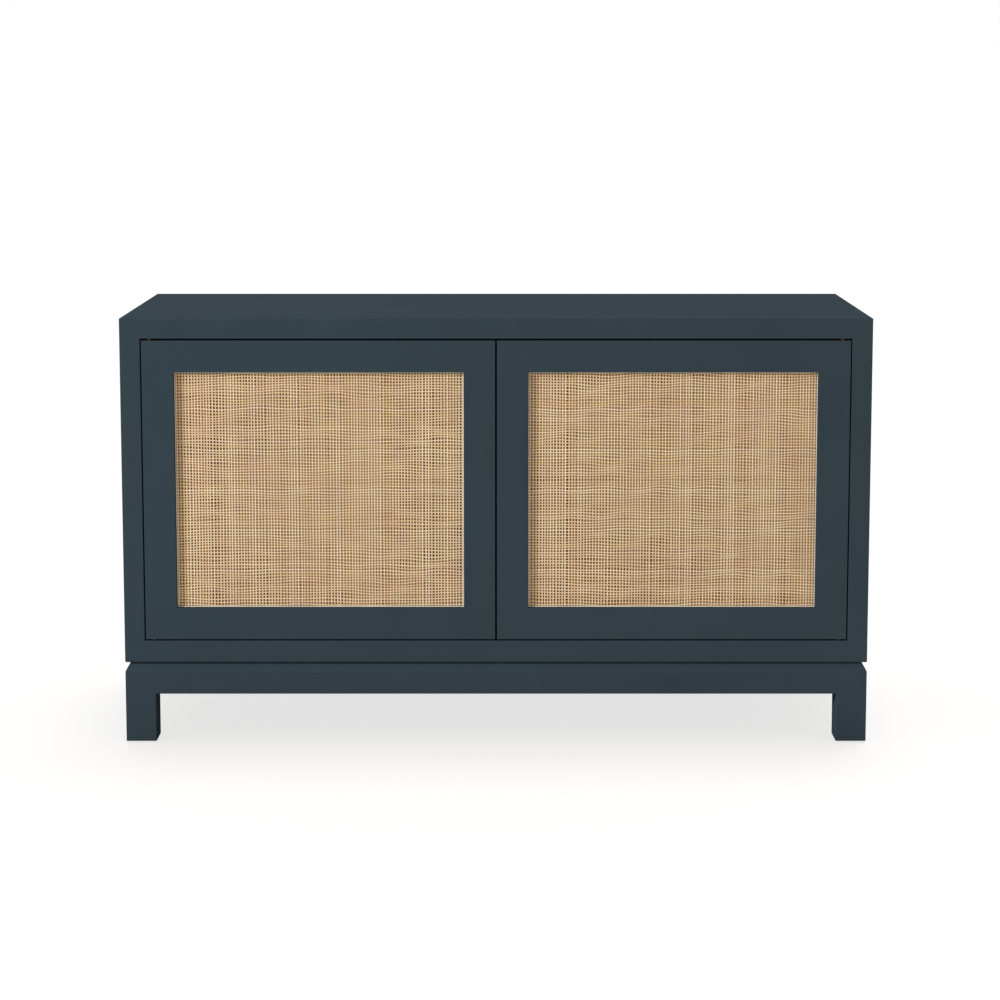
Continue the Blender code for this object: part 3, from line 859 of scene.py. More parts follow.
def add_piece(
    name: str,
    bm: Shape,
    finish: Finish,
    body: str,
    stands_for: Iterable[str] = (),
    smooth: bool = False,
) -> bpy.types.Object:
    """Makes a finished piece that rides on a body.

    Args:
        name: the piece's name.
        bm: its shape, in place.
        finish: its finish.
        body: the CAD body that carries it.
        stands_for: the CAD nodes that it is shown instead of.
        smooth: whether its round faces are shaded smooth.

    Returns:
        The piece.
    """
    bmesh.ops.remove_doubles(bm, verts=bm.verts, dist=WELD)
    bmesh.ops.recalc_face_normals(bm, faces=bm.faces)
    piece = loose_object(name, bm)
    piece.data.materials.append(finish.material())
    if smooth:
        piece.data.shade_smooth()
        piece.data.set_sharp_from_angle(angle=SMOOTH_UP_TO)
    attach(piece, body)
    if stands_for:
        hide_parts(*stands_for)
    log.info("%s on %s: %d faces", name, body, len(piece.data.polygons))
    return piece


def add_softened(node: str, finish: Finish, body: str, radius: float) -> None:
    """Shows a CAD node with its edges rounded.

    Args:
        node: the node's name.
        finish: its finish.
        body: the CAD body that carries it.
        radius: the width of the rounding.
    """
    bm = merged_copy(node)
    round_edges(bm, radius)
    add_piece(f"{node}_softened", bm, finish, body, [node])


def dress_node(node: str, finish: Finish) -> None:
    """Keeps a CAD node's own shape and gives it a finish.

    Args:
        node: the node's name.
        finish: its finish.
    """
    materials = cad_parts[node].data.materials
    materials.clear()
    materials.append(finish.material())
    log.info("%s keeps its shape, in %s", node, finish.name)


# Sub-assemblies


@dataclass(frozen=True)
class Outline:
    """The planes that the sub-assemblies share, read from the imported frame.

    Args:
        side: the X of the right outer face. The left half mirrors the right one.
        inner_side: the X of the right inner wall.
        front: the Y of the front.
        back: the Y of the back.
        base: the Z of the case's underside.
        floor: the Z of the floor inside.
        ceiling: the Z of the ceiling inside.
        height: the Z of the top.
        bay_back: the Y of the step behind which the back panel sits.
    """

    side: float
    inner_side: float
    front: float
    back: float
    base: float
    floor: float
    ceiling: float
    height: float
    bay_back: float

    @classmethod
    def measured(cls) -> "Outline":
        """Reads the planes from the case panels.

        Returns:
            The planes.
        """
        low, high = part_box("case_bottom")
        right_low, right_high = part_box("case_side_right")
        top_low, top_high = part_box("case_top")
        return cls(
            side=right_high.x,
            inner_side=right_low.x,
            front=low.y,
            back=high.y,
            base=low.z,
            floor=high.z,
            ceiling=top_low.z,
            height=top_high.z,
            bay_back=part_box("back_panel")[0].y - JOINT_GAP,
        )


@dataclass
class Case:
    """The mitred case, sprayed as one, and what stands in it.

    Args:
        planes: the shared planes.
        arris: how far in and how far up each point of the undercut lower edge is.
        rebate: the step round the back opening.
        edge: the rounding of the case's edges.
        back_edge: the rounding of the back panel's edges.
        pin_rows: rows of shelf pin holes above and below the pins.
        pin_pitch: the spacing of those rows.
        pin_hole: the radius and depth of a pin hole.
        pin_sides: the steps round it.
    """

    planes: Outline
    arris: tuple[Pair, ...] = ((0.0, 0.0032), (0.0006, 0.0014), (0.0020, 0.0005), (0.0080, 0.0))
    rebate: float = 0.010
    edge: float = 0.0011
    back_edge: float = 0.0006
    pin_rows: int = 2
    pin_pitch: float = 0.032
    pin_hole: Pair = (0.0029, 0.0085)
    pin_sides: int = 16

    def inset(self, bm: Shape, face: bmesh.types.BMFace, grow: float, depth: float) -> None:
        """Insets a face of the case to the opening and sinks it.

        Args:
            bm: the case.
            face: a face that stands across Y.
            grow: how much wider than the opening it gets all round.
            depth: how deep it is sunk then.
        """
        planes = self.planes
        bmesh.ops.inset_individual(bm, faces=[face], thickness=self.rebate, depth=0.0)
        middle = face.calc_center_median()
        for vert in face.verts:
            reach = planes.inner_side + grow
            vert.co.x = reach if vert.co.x > 0.0 else -reach
            above = vert.co.z > middle.z
            vert.co.z = planes.ceiling + grow if above else planes.floor - grow
        if depth:
            bmesh.ops.inset_individual(bm, faces=[face], thickness=0.0, depth=-depth)

    def ring(self) -> Shape:
        """Makes the whole case as one ring, with its rebate and its rounded edges.

        Returns:
            The closed ring.
        """
        planes = self.planes
        low = (-planes.side, planes.front, planes.base)
        solid = block(low, (planes.side, planes.back, planes.height))
        profile = [(depth, planes.base + rise) for depth, rise in self.arris]
        bm = portion(solid, arris_cuts(profile, planes))
        solid.free()
        bmesh.ops.recalc_face_normals(bm, faces=bm.faces)
        front = min(bm.faces, key=lambda face: face.normal.y)
        back = max(bm.faces, key=lambda face: face.normal.y)
        self.inset(bm, front, 0.0, 0.0)
        self.inset(bm, back, self.rebate, planes.back - planes.bay_back)
        self.inset(bm, back, 0.0, 0.0)
        rims = list({*front.edges, *back.edges})
        bmesh.ops.delete(bm, geom=[front, back], context="FACES_ONLY")
        bmesh.ops.bridge_loops(bm, edges=rims)
        bmesh.ops.recalc_face_normals(bm, faces=bm.faces)
        round_edges(bm, self.edge, lambda edge: not lies_at(edge, planes.base))
        return bm

    def panels(self) -> dict[str, list[Cut]]:
        """Lays the cuts that part the ring into its four panels, at the mitres.

        Returns:
            The cuts of each panel, by its node.
        """
        planes = self.planes
        middle = Vector((0.0, 0.0, (planes.floor + planes.ceiling) / 2))
        up = NORMAL_TO["Z"]
        cuts = {"case_top": [(middle, -up)], "case_bottom": [(middle, up)]}
        for hand in Hand:
            sign = hand.value
            cuts[f"case_side_{label(hand)}"] = [(Vector(), Vector((-sign, 0.0, 0.0)))]
            for node, outer, inner, level in (
                ("case_top", planes.height, planes.ceiling, 1),
                ("case_bottom", planes.base, planes.floor, -1),
            ):
                corner = Vector((sign * planes.side, 0.0, outer))
                across = Vector((outer - inner, 0.0, sign * (planes.inner_side - planes.side)))
                outward = across * (level * sign)
                cuts[node].append((corner, outward))
                cuts[f"case_side_{label(hand)}"].append((corner, -outward))
        return cuts

    def pin_holes(self, hand: Hand, wall: str) -> Shape:
        """Makes the cutter for the shelf pin holes in one wall of a bay.

        Args:
            hand: the bay.
            wall: side or divider.

        Returns:
            The cutter, with a rod for each hole.
        """
        sign = hand.value if wall == "side" else -hand.value
        walls = {"side": self.planes.inner_side, "divider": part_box("centre_divider")[1].x}
        radius, depth = self.pin_hole
        rods = []
        for end in End:
            low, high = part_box(f"shelf_pin_{label(hand)}_{wall}_{label(end)}")
            middle = (low + high) / 2
            for row in range(-self.pin_rows, self.pin_rows + 1):
                point = (hand.value * walls[wall], middle.y, middle.z + row * self.pin_pitch)
                placement = aim(point, (sign, 0.0, 0.0))
                rods.append(rod(radius, -OVERCUT, depth, placement, self.pin_sides))
        return gathered(rods)

    def leaf_pockets(self, level: Level) -> Shape:
        """Makes the cutter for the hinges' case leaves, in the top or the bottom.

        Args:
            level: the top or the bottom.

        Returns:
            The cutter, with a block for each leaf.
        """
        upper = level is Level.UPPER
        face = self.planes.ceiling if upper else self.planes.floor
        gap = Vector((JOINT_GAP, JOINT_GAP, 0.0))
        blocks = []
        for hand in Hand:
            low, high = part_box(f"{label(hand)}_{label(level)}_hinge_case_leaf")
            root = high.z if upper else low.z
            low.z = face - level.value * OVERCUT
            high.z = root + level.value * JOINT_GAP
            blocks.append(block(low - gap, high + gap))
        return gathered(blocks)

    def build(self) -> None:
        """Builds the panels, the divider, the back, the shelves and their pins."""
        ring = self.ring()
        cutters = {
            "case_top": self.leaf_pockets(Level.UPPER),
            "case_bottom": self.leaf_pockets(Level.LOWER),
            "case_side_left": self.pin_holes(Hand.LEFT, "side"),
            "case_side_right": self.pin_holes(Hand.RIGHT, "side"),
        }
        for node, cuts in self.panels().items():
            panel = combined(portion(ring, cuts), cutters[node])
            add_piece(f"{node}_panel", panel, LACQUER, "case", [node])
        ring.free()
        divider = block(*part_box("centre_divider"))
        round_edges(divider, self.edge)
        for hand in Hand:
            divider = combined(divider, self.pin_holes(hand, "divider"))
        add_piece("divider_panel", divider, LACQUER, "case", ["centre_divider"])
        add_softened("back_panel", LACQUER, "case", self.back_edge)
        for hand in Hand:
            add_softened(f"shelf_{label(hand)}", LACQUER, "case", self.edge)
            for wall in ("side", "divider"):
                for end in End:
                    dress_node(f"shelf_pin_{label(hand)}_{wall}_{label(end)}", STEEL)


@dataclass
class Grommet:
    """A nylon ring that lines a cable port in the back panel.

    Args:
        hand: which port it is in.
        wall: the thickness of its tube.
        brim: how far its flange reaches past the tube.
        flange: the thickness of its flange.
        eased: the share of that thickness that a rounded lip takes.
        sides: the steps round it.
    """

    hand: Hand
    wall: float = 0.0035
    brim: float = 0.0055
    flange: float = 0.0025
    eased: float = 1 / 3
    sides: int = 64

    def build(self) -> None:
        """Turns the ring, with a rounded flange."""
        node = f"cable_grommet_{label(self.hand)}"
        low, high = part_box(node)
        middle = (low + high) / 2
        outer = (high.x - low.x) / 2
        tube = outer - self.brim
        bore = tube - self.wall
        start, end = low.y, high.y
        shoulder = end - self.flange
        lip = self.flange * self.eased
        bend = lip * self.eased
        profile = [
            (bore, start),
            (tube, start),
            (tube, shoulder),
            (outer, shoulder),
            (outer, end - lip),
            (outer - bend, end - bend),
            (outer - lip, end),
            (bore + lip, end),
            (bore + bend, end - bend),
            (bore, end - lip),
        ]
        ring = turned(profile, aim((middle.x, 0.0, middle.z), NORMAL_TO["Y"]), self.sides, True)
        add_piece(f"{node}_ring", ring, NYLON, "case", [node], smooth=True)


@dataclass
class Base:
    """The four legs and four aprons, glued and sprayed as one, on nylon glides.

    Args:
        planes: the shared planes.
        arris: how far in and how far down each point of the shouldered upper edge is.
        edge: the rounding of its edges.
        block_edge: the rounding of the corner blocks' edges.
    """

    planes: Outline
    arris: tuple[Pair, ...] = ((0.0, 0.0160), (0.0005, 0.0140), (0.0020, 0.0106), (0.0080, 0.0))
    edge: float = 0.0011
    block_edge: float = 0.0012

    def ring(self) -> Shape:
        """Makes the whole base as one shape, shouldered, with rounded edges.

        Returns:
            The closed shape.
        """
        planes = self.planes
        leg_low, leg_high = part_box("leg_front_left")
        apron_low, apron_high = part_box("apron_front")
        leg = leg_high.x - leg_low.x
        apron = apron_high.y - apron_low.y
        # Across the plan: an apron, the rest of a leg, the middle, and both again.
        cells = 5
        bm = bmesh.new()
        bmesh.ops.create_grid(bm, x_segments=cells, y_segments=cells, size=0.5)

        def line(place: float, reach: float) -> float:
            """The grid line at a place from -0.5 to 0.5, moved to where it belongs."""
            steps = (-reach, apron - reach, leg - reach, reach - leg, reach - apron, reach)
            return steps[round((place + 0.5) * cells)]

        def is_leg(face: bmesh.types.BMFace) -> bool:
            """Whether a cell is part of a leg."""
            middle = face.calc_center_median()
            return abs(middle.x) > planes.side - leg and abs(middle.y) > planes.back - leg

        for vert in bm.verts:
            vert.co = (line(vert.co.x, planes.side), line(vert.co.y, planes.back), leg_high.z)
        hollow = []
        for face in bm.faces:
            middle = face.calc_center_median()
            inside = abs(middle.x) < planes.side - apron and abs(middle.y) < planes.back - apron
            if inside and not is_leg(face):
                hollow.append(face)
        bmesh.ops.delete(bm, geom=hollow, context="FACES")
        self.push_down(bm, bm.faces[:], apron_low.z)
        bottoms = [face for face in bm.faces if is_leg(face) and lies_at(face, apron_low.z)]
        self.push_down(bm, bottoms, leg_low.z)
        bmesh.ops.recalc_face_normals(bm, faces=bm.faces)
        profile = [(depth, leg_high.z - fall) for depth, fall in self.arris]
        shouldered = portion(bm, arris_cuts(profile, planes))
        bm.free()
        bmesh.ops.recalc_face_normals(shouldered, faces=shouldered.faces)
        round_edges(shouldered, self.edge, lambda edge: not lies_at(edge, leg_high.z))
        return shouldered

    @staticmethod
    def push_down(bm: Shape, faces: list[bmesh.types.BMFace], height: float) -> None:
        """Extrudes level faces straight down.

        Args:
            bm: the shape.
            faces: the faces.
            height: the Z that they are pushed down to.
        """
        pushed = bmesh.ops.extrude_face_region(bm, geom=faces)
        for item in pushed["geom"]:
            if isinstance(item, bmesh.types.BMVert):
                item.co.z = height

    def members(self) -> dict[str, list[Cut]]:
        """Lays the cuts that part the base into its legs and aprons, at their joints.

        Returns:
            The cuts of each leg and apron, by its node.
        """
        leg_low, leg_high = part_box("leg_front_left")
        leg = leg_high.x - leg_low.x + JOINT_GAP
        x, y = self.planes.side - leg, self.planes.back - leg
        cuts = {}
        for end in End:
            cuts[f"apron_{label(end)}"] = [
                (Vector((-x, 0.0, 0.0)), Vector((-1.0, 0.0, 0.0))),
                (Vector((x, 0.0, 0.0)), Vector((1.0, 0.0, 0.0))),
                (Vector(), Vector((0.0, -end.value, 0.0))),
            ]
            for hand in Hand:
                cuts[f"leg_{label(end)}_{label(hand)}"] = [
                    (Vector((hand.value * x, 0.0, 0.0)), Vector((-hand.value, 0.0, 0.0))),
                    (Vector((0.0, end.value * y, 0.0)), Vector((0.0, -end.value, 0.0))),
                ]
        for hand in Hand:
            cuts[f"apron_{label(hand)}"] = [
                (Vector((0.0, -y, 0.0)), Vector((0.0, -1.0, 0.0))),
                (Vector((0.0, y, 0.0)), Vector((0.0, 1.0, 0.0))),
                (Vector(), Vector((-hand.value, 0.0, 0.0))),
            ]
        return cuts

    def build(self) -> None:
        """Builds the legs, the aprons, the corner blocks and the glides."""
        ring = self.ring()
        for node, cuts in self.members().items():
            add_piece(f"{node}_member", portion(ring, cuts), LACQUER, "case", [node])
        ring.free()
        for end in End:
            for hand in Hand:
                corner = f"{label(end)}_{label(hand)}"
                add_softened(f"corner_block_{corner}", RAW_WOOD, "case", self.block_edge)
                dress_node(f"foot_glide_{corner}", NYLON)


@dataclass
class Weave:
    """Plain-woven raffia: nearly straight warps, and wefts that wander and crowd.

    Args:
        low: the lower corner of the woven field, in X and Z.
        high: the upper corner.
        plane: the Y of the middle of the weave.
        seed: what its drift and its tones grow from.
        pitch: the spacing of the warps and of the wefts.
        uneven_pitch: how much the spacing varies, as a share.
        widths: the width of a warp and of a weft.
        uneven_width: how much it varies from reed to reed and along a reed, as shares.
        width_limits: the narrowest and the widest that a reed gets, as shares.
        thickness: the thickness of a reed.
        lift: how far a reed rises over, or dips under, the middle.
        rest: how far a reed lies level on each side of a crossing.
        drift: how far the warps and the wefts stray.
        warp_waves: the layers of waves in which the warps stray. Each has its shortest wave
            along X, its shortest along Z and its share.
        weft_waves: the same for the wefts.
        waves_each: how many waves a layer has.
        slowest: the slowest wave of a layer, as a share of its fastest.
        beat: how many reeds come before the pattern of wide gaps and pale reeds repeats.
        beat_gaps: which gaps of a beat are wider, and how many times.
        beat_width: how much wider the beat's pale reed is, as a share.
        beat_tone: that reed's tone.
        tones: the middle and the spread of the other reeds' tones.
        unshaded_core: how far a reed's full tone reaches from its middle, as a share of its width.
        rim_shade_share: the share of the tone left beyond that, as painted shade at the rims.
    """

    low: Pair
    high: Pair
    plane: float
    seed: int
    pitch: Pair = (0.00480, 0.00469)
    uneven_pitch: float = 0.05
    widths: Pair = (0.00247, 0.00224)
    uneven_width: Pair = (0.06, 0.04)
    width_limits: Pair = (0.8, 1.25)
    thickness: float = 0.0006
    lift: float = 0.00035
    rest: float = 0.0011
    drift: Pair = (0.0002, 0.0015)
    warp_waves: tuple[Triple, ...] = ((0.30, 0.40, 1.0), (0.05, 0.15, 0.35))
    weft_waves: tuple[Triple, ...] = ((0.22, 0.16, 0.8), (0.08, 0.05, 0.45), (0.06, 0.022, 0.35))
    waves_each: int = 6
    slowest: float = 0.4
    beat: int = 14
    beat_gaps: tuple[tuple[int, float], ...] = ((1, 1.13), (4, 1.11))
    beat_width: float = 0.04
    beat_tone: float = 0.86
    tones: Pair = (0.67, 0.09)
    unshaded_core: float = 0.25
    rim_shade_share: float = 0.10

    def width(self, run: Reed) -> float:
        """The width of a warp or of a weft."""
        return self.widths[0] if run is Reed.WARP else self.widths[1]

    def waves(
        self,
        grid: np.ndarray,
        reach: float,
        layers: tuple[Triple, ...],
        rng: np.random.Generator,
    ) -> np.ndarray:
        """Makes a smooth random field over the woven panel.

        Args:
            grid: the places, with X and Z in the last axis.
            reach: the field's usual size.
            layers: the layers of waves that it adds up.
            rng: where the random numbers come from.

        Returns:
            The field's value at each place.
        """
        field = np.zeros(grid.shape[:-1])
        for length_x, length_z, share in layers:
            for _ in range(self.waves_each):
                turn = math.tau * rng.uniform(self.slowest, 1.0, 2) * rng.choice((-1.0, 1.0), 2)
                phase = rng.uniform(0.0, math.tau)
                angle = grid[..., 0] * turn[0] / length_x + grid[..., 1] * turn[1] / length_z
                field += share * np.sin(angle + phase)
        return field * reach / math.sqrt(self.waves_each)

    def lines(self, axis: int, rng: np.random.Generator) -> np.ndarray:
        """Spaces the reeds across one axis, before they stray.

        Args:
            axis: 0 for the warps across X, and 1 for the wefts across Z.
            rng: where the random numbers come from.

        Returns:
            The place of each reed.
        """
        pitch = self.pitch[axis]
        count = int((self.high[axis] - self.low[axis]) / pitch)
        steps = pitch * (1.0 + rng.normal(0.0, self.uneven_pitch, count))
        for first, wider in self.beat_gaps:
            steps[first :: self.beat] *= wider
        places = np.cumsum(steps)
        middle = (self.low[axis] + self.high[axis]) / 2
        return places - places.mean() + middle

    def paths(self, run: Reed) -> np.ndarray:
        """Lays the reeds of one direction.

        Args:
            run: warp or weft.

        Returns:
            For each reed, where it crosses each one of the other direction, in X and Z.
        """
        rng = np.random.default_rng(self.seed)
        across = self.lines(0, rng)
        up = self.lines(1, rng)
        grid = np.stack(np.meshgrid(across, up, indexing="ij"), axis=-1)
        moved = grid.copy()
        moved[..., 0] += self.waves(grid, self.drift[0], self.warp_waves, rng)
        moved[..., 1] += self.waves(grid, self.drift[1], self.weft_waves, rng)
        return moved if run is Reed.WARP else moved.transpose(1, 0, 2)

    def profile(self, run: Reed) -> bpy.types.Object:
        """Draws the lens-shaped section of a warp or of a weft.

        Args:
            run: warp or weft.

        Returns:
            The section, as a closed curve.
        """
        curve = bpy.data.curves.new("reed_section", "CURVE")
        spline = curve.splines.new("POLY")
        half, rise = self.width(run) / 2, self.thickness / 2
        corners = ((-half, 0.0), (0.0, -rise), (half, 0.0), (0.0, rise))
        spline.points.add(len(corners) - 1)
        for point, corner in zip(spline.points, corners):
            point.co = (*corner, 0.0, 1.0)
        spline.use_cyclic_u = True
        return linked("reed_section", curve)

    def reeds(self, run: Reed) -> Shape:
        """Weaves all the reeds of one direction flat in X and Y, and stands them up.

        Args:
            run: warp or weft.

        Returns:
            The closed reeds, in place.
        """
        section = self.profile(run)
        paths = self.paths(run)
        over = self.lift if run is Reed.WARP else -self.lift
        rng = np.random.default_rng(self.seed + SHAPE_DRAW + run.value)
        curve = bpy.data.curves.new("reeds", "CURVE")
        curve.dimensions = "3D"
        curve.twist_mode = "Z_UP"
        curve.use_fill_caps = True
        curve.bevel_mode = "OBJECT"
        curve.bevel_object = section
        parity = np.arange(paths.shape[1]) % 2
        for index, path in enumerate(paths):
            along = np.gradient(path, axis=0)
            along /= np.linalg.norm(along, axis=1, keepdims=True)
            rise = over * np.where((parity + index) % 2 == 0, 1.0, -1.0)
            flat = np.stack((path - along * self.rest, path + along * self.rest), axis=1)
            flat = flat.reshape(-1, 2)
            own, along_it = self.uneven_width
            swells = rng.normal(1.0, own) + rng.normal(0.0, along_it, len(flat))
            swells += self.beat_width if index % self.beat == 0 else 0.0
            points = np.column_stack((flat, np.repeat(rise, 2), np.ones(len(flat))))
            spline = curve.splines.new("POLY")
            spline.points.add(len(points) - 1)
            spline.points.foreach_set("co", points.ravel())
            spline.points.foreach_set("radius", np.clip(swells, *self.width_limits))
        bm = worked_out(linked("reeds", curve))
        bpy.data.curves.remove(curve)
        bpy.data.curves.remove(section.data)
        bmesh.ops.remove_doubles(bm, verts=bm.verts, dist=WELD)
        stand = Matrix.Translation((0.0, self.plane, 0.0)) @ Matrix.Rotation(math.pi / 2, 4, "X")
        bmesh.ops.transform(bm, matrix=stand, verts=bm.verts)
        return bm

    def tone(self, piece: bpy.types.Object, run: Reed) -> None:
        """Gives each reed of a piece its own tone, as an attribute, with painted shade at its
        rims.

        Args:
            piece: the piece that holds the reeds.
            run: warp or weft.
        """
        paths = self.paths(run)
        across = 0 if run is Reed.WARP else 1
        rng = np.random.default_rng(self.seed + TONE_DRAW + run.value)
        tones = np.clip(rng.normal(*self.tones, len(paths)), 0.0, 1.0)
        tones[:: self.beat] = self.beat_tone
        places = np.zeros(len(piece.data.vertices) * 3)
        piece.data.vertices.foreach_get("co", places)
        places = places.reshape(-1, 3)[:, (0, 2)]
        values = np.zeros(len(places))
        nearest = np.full(len(places), np.inf)
        # Painted shade: beyond its core each reed keeps a small share of its tone, so it is pale
        # along the middle and dark at its rims.
        rim = self.width(run) * self.unshaded_core
        for path, value in zip(paths, tones):
            line = np.interp(places[:, 1 - across], path[:, 1 - across], path[:, across])
            away = np.abs(places[:, across] - line)
            values = np.where(away < nearest, value, values)
            nearest = np.minimum(nearest, away)
        values = np.where(nearest > rim, values * self.rim_shade_share, values)
        attribute = piece.data.attributes.new(TONE_AND_RIM_SHADE, "FLOAT", "POINT")
        attribute.data.foreach_set("value", values.astype(np.float32))


@dataclass
class Door:
    """One inset door: its frame, its raffia panel and its half of the hinges and latch.

    Args:
        hand: which door it is.
        planes: the shared planes, which the door doesn't read.
        edge: the rounding of the frame's edges.
        nearer: how much nearer to the case than the CAD's the frame's edges come, at its hinge
            side and at its bottom, where the gaps look narrowest.
        leaf_edge: the rounding of the hinge leaves' edges.
        strike_edge: the rounding of the strike plate's edges.
        pin_room: how much deeper than its pin a pivot hole is.
        groove: the depth of the groove that holds the panel.
        backing: the thickness of the raffia's paper backing.
        weave_room: from the front of the groove to the backing.
        under: how far the reeds run into the groove.
        spline_width: the width of the thin reed that trims the raffia.
        spline_rise: how far it stands in front of the raffia.
        spline_edge: the rounding of its edges.
        spline_gap: its clearance from the frame and from the raffia.
        seed: what the weave of the two doors grows from.
    """

    hand: Hand
    planes: Outline
    edge: float = 0.0008
    nearer: Pair = (0.0009, 0.0006)
    leaf_edge: float = 0.0003
    strike_edge: float = 0.0004
    pin_room: float = 0.001
    groove: float = 0.010
    backing: float = 0.0007
    weave_room: float = 0.0018
    under: float = 0.005
    spline_width: float = 0.0014
    spline_rise: float = 0.0012
    spline_edge: float = 0.0004
    spline_gap: float = 0.00005
    seed: int = 40

    @property
    def body(self) -> str:
        """The CAD body that the door is."""
        return f"{label(self.hand)}_door"

    def stiles(self) -> list[Box]:
        """The boxes of the left and the right stile."""
        boxes = [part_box(f"{self.body}_{kind}_stile") for kind in ("hinge", "latch")]
        return sorted(boxes, key=lambda span: span[0].x)

    def opening(self) -> Box:
        """Reads the panel opening, through the thickness of the door.

        Returns:
            Its two corners.
        """
        left, right = self.stiles()
        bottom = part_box(f"{self.body}_bottom_rail")[1].z
        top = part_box(f"{self.body}_top_rail")[0].z
        low = Vector((left[1].x, left[0].y, bottom))
        return low, Vector((right[0].x, left[1].y, top))

    def frame_ring(self) -> Shape:
        """Makes the door frame as one grooved ring with rounded edges.

        Returns:
            The closed ring.
        """
        low, high = self.opening()
        outer_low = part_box(f"{self.body}_bottom_rail")[0]
        outer_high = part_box(f"{self.body}_top_rail")[1]
        left, right = self.stiles()
        outer_low.x = left[0].x
        outer_high.x = right[1].x
        beside, below = self.nearer
        outer_low.z -= below
        if self.hand is Hand.RIGHT:
            outer_high.x += beside
        else:
            outer_low.x -= beside
        through = Vector((0.0, OVERCUT, 0.0))
        ring = combined(block(outer_low, outer_high), block(low - through, high + through))
        round_edges(ring, self.edge)
        panel_low, panel_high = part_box(f"{self.body}_raffia_panel")
        slot = Vector((self.groove, 0.0, self.groove))
        low.y, high.y = panel_low.y - JOINT_GAP, panel_high.y + JOINT_GAP
        return combined(ring, block(low - slot, high + slot))

    def members(self) -> dict[str, list[Cut]]:
        """Lays the cuts that part the ring into its stiles and rails.

        Returns:
            The cuts of each stile and rail, by its node.
        """
        low, high = self.opening()
        left, right = Vector((low.x - JOINT_GAP, 0, 0)), Vector((high.x + JOINT_GAP, 0, 0))
        east, west = NORMAL_TO["X"], -NORMAL_TO["X"]
        middle = (low + high) / 2
        latch, hinge = ("latch", "hinge") if self.hand is Hand.RIGHT else ("hinge", "latch")
        between = [(left, west), (right, east)]
        return {
            f"{self.body}_{latch}_stile": [(left, east)],
            f"{self.body}_{hinge}_stile": [(right, west)],
            f"{self.body}_bottom_rail": [*between, (middle, NORMAL_TO["Z"])],
            f"{self.body}_top_rail": [*between, (middle, -NORMAL_TO["Z"])],
        }

    def hinge_cutters(self) -> Shape:
        """Makes the cutter for the leaves and the pivots at the hinge stile's two ends.

        Returns:
            The cutter, with a block and a rod for each end.
        """
        cutters = []
        for level in Level:
            stem = f"{label(self.hand)}_{label(level)}_hinge"
            low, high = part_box(f"{stem}_door_leaf")
            pin_low, pin_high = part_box(f"{stem}_case_leaf")
            far, end = (low.z, pin_low.z) if level is Level.UPPER else (high.z, pin_high.z)
            outer = high.z if level is Level.UPPER else low.z
            gap = Vector((JOINT_GAP, JOINT_GAP, 0.0))
            low.z = far - level.value * JOINT_GAP
            high.z = outer + level.value * OVERCUT
            cutters.append(block(low - gap, high + gap))
            hinge = Hinge(self.hand, level)
            depth = abs(end - outer) + self.pin_room
            down = aim((*hinge.pivot(), outer), (0.0, 0.0, -level.value))
            cutters.append(rod(hinge.bore, 0.0, depth, down))
        return gathered(cutters)

    def build(self) -> None:
        """Builds the frame, the board, the raffia, and dresses the leaves and strike."""
        ring = self.frame_ring()
        for node, cuts in self.members().items():
            member = portion(ring, cuts)
            if node.endswith("hinge_stile"):
                member = combined(member, self.hinge_cutters())
            add_piece(f"{node}_member", member, LACQUER, self.body, [node])
        ring.free()
        self.build_panel()
        for level in Level:
            stem = f"{label(self.hand)}_{label(level)}_hinge"
            add_softened(f"{stem}_door_leaf", BRASS, self.body, self.leaf_edge)
            add_softened(f"{stem}_case_leaf", BRASS, "case", self.leaf_edge)
        add_softened(f"{label(self.hand)}_strike_plate", STEEL, self.body, self.strike_edge)

    def build_panel(self) -> None:
        """Builds the board, the near-black paper that also paints the holes' shade, and both sets
        of reeds.
        """
        node = f"{self.body}_raffia_panel"
        low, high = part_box(node)
        groove_front = low.y - JOINT_GAP
        paper = groove_front + self.weave_room
        board = block((low.x, paper + self.backing, low.z), high)
        add_piece(f"{self.body}_panel_board", board, LACQUER, self.body, [node])
        # The paper under the reeds, near-black as painted shade for the holes between them.
        backing_and_hole_shade = block(low, (high.x, paper + self.backing, high.z))
        for vert in backing_and_hole_shade.verts:
            vert.co.y = max(vert.co.y, paper)
        add_piece(f"{self.body}_raffia_backing", backing_and_hole_shade, RAFFIA_BACKING_AND_HOLE_SHADE, self.body, [node])
        opening_low, opening_high = self.opening()
        weave = Weave(
            low=(opening_low.x - self.under, opening_low.z - self.under),
            high=(opening_high.x + self.under, opening_high.z + self.under),
            plane=groove_front + JOINT_GAP + Weave.thickness / 2 + Weave.lift,
            seed=self.seed + self.hand.value,
        )
        self.build_spline(opening_low, opening_high, groove_front + JOINT_GAP)
        for run in Reed:
            reeds = weave.reeds(run)
            name = f"{self.body}_raffia_{label(run)}"
            piece = add_piece(name, reeds, REEDS[run], self.body, [node], smooth=True)
            weave.tone(piece, run)

    def build_spline(self, low: Vector, high: Vector, reed_front: float) -> None:
        """Builds the thin reed that trims the raffia against the frame.

        Args:
            low: the lower corner of the opening.
            high: its upper corner.
            reed_front: the Y of the front of the raffia.
        """
        low, high = low.copy(), high.copy()
        low.y, high.y = reed_front - self.spline_rise, reed_front - self.spline_gap
        gap = Vector((self.spline_gap, 0.0, self.spline_gap))
        inner = gap + Vector((self.spline_width, -OVERCUT, self.spline_width))
        ring = combined(block(low + gap, high - gap), block(low + inner, high - inner))
        round_edges(ring, self.spline_edge)
        add_piece(f"{self.body}_raffia_spline", ring, SPLINE_REED, self.body)


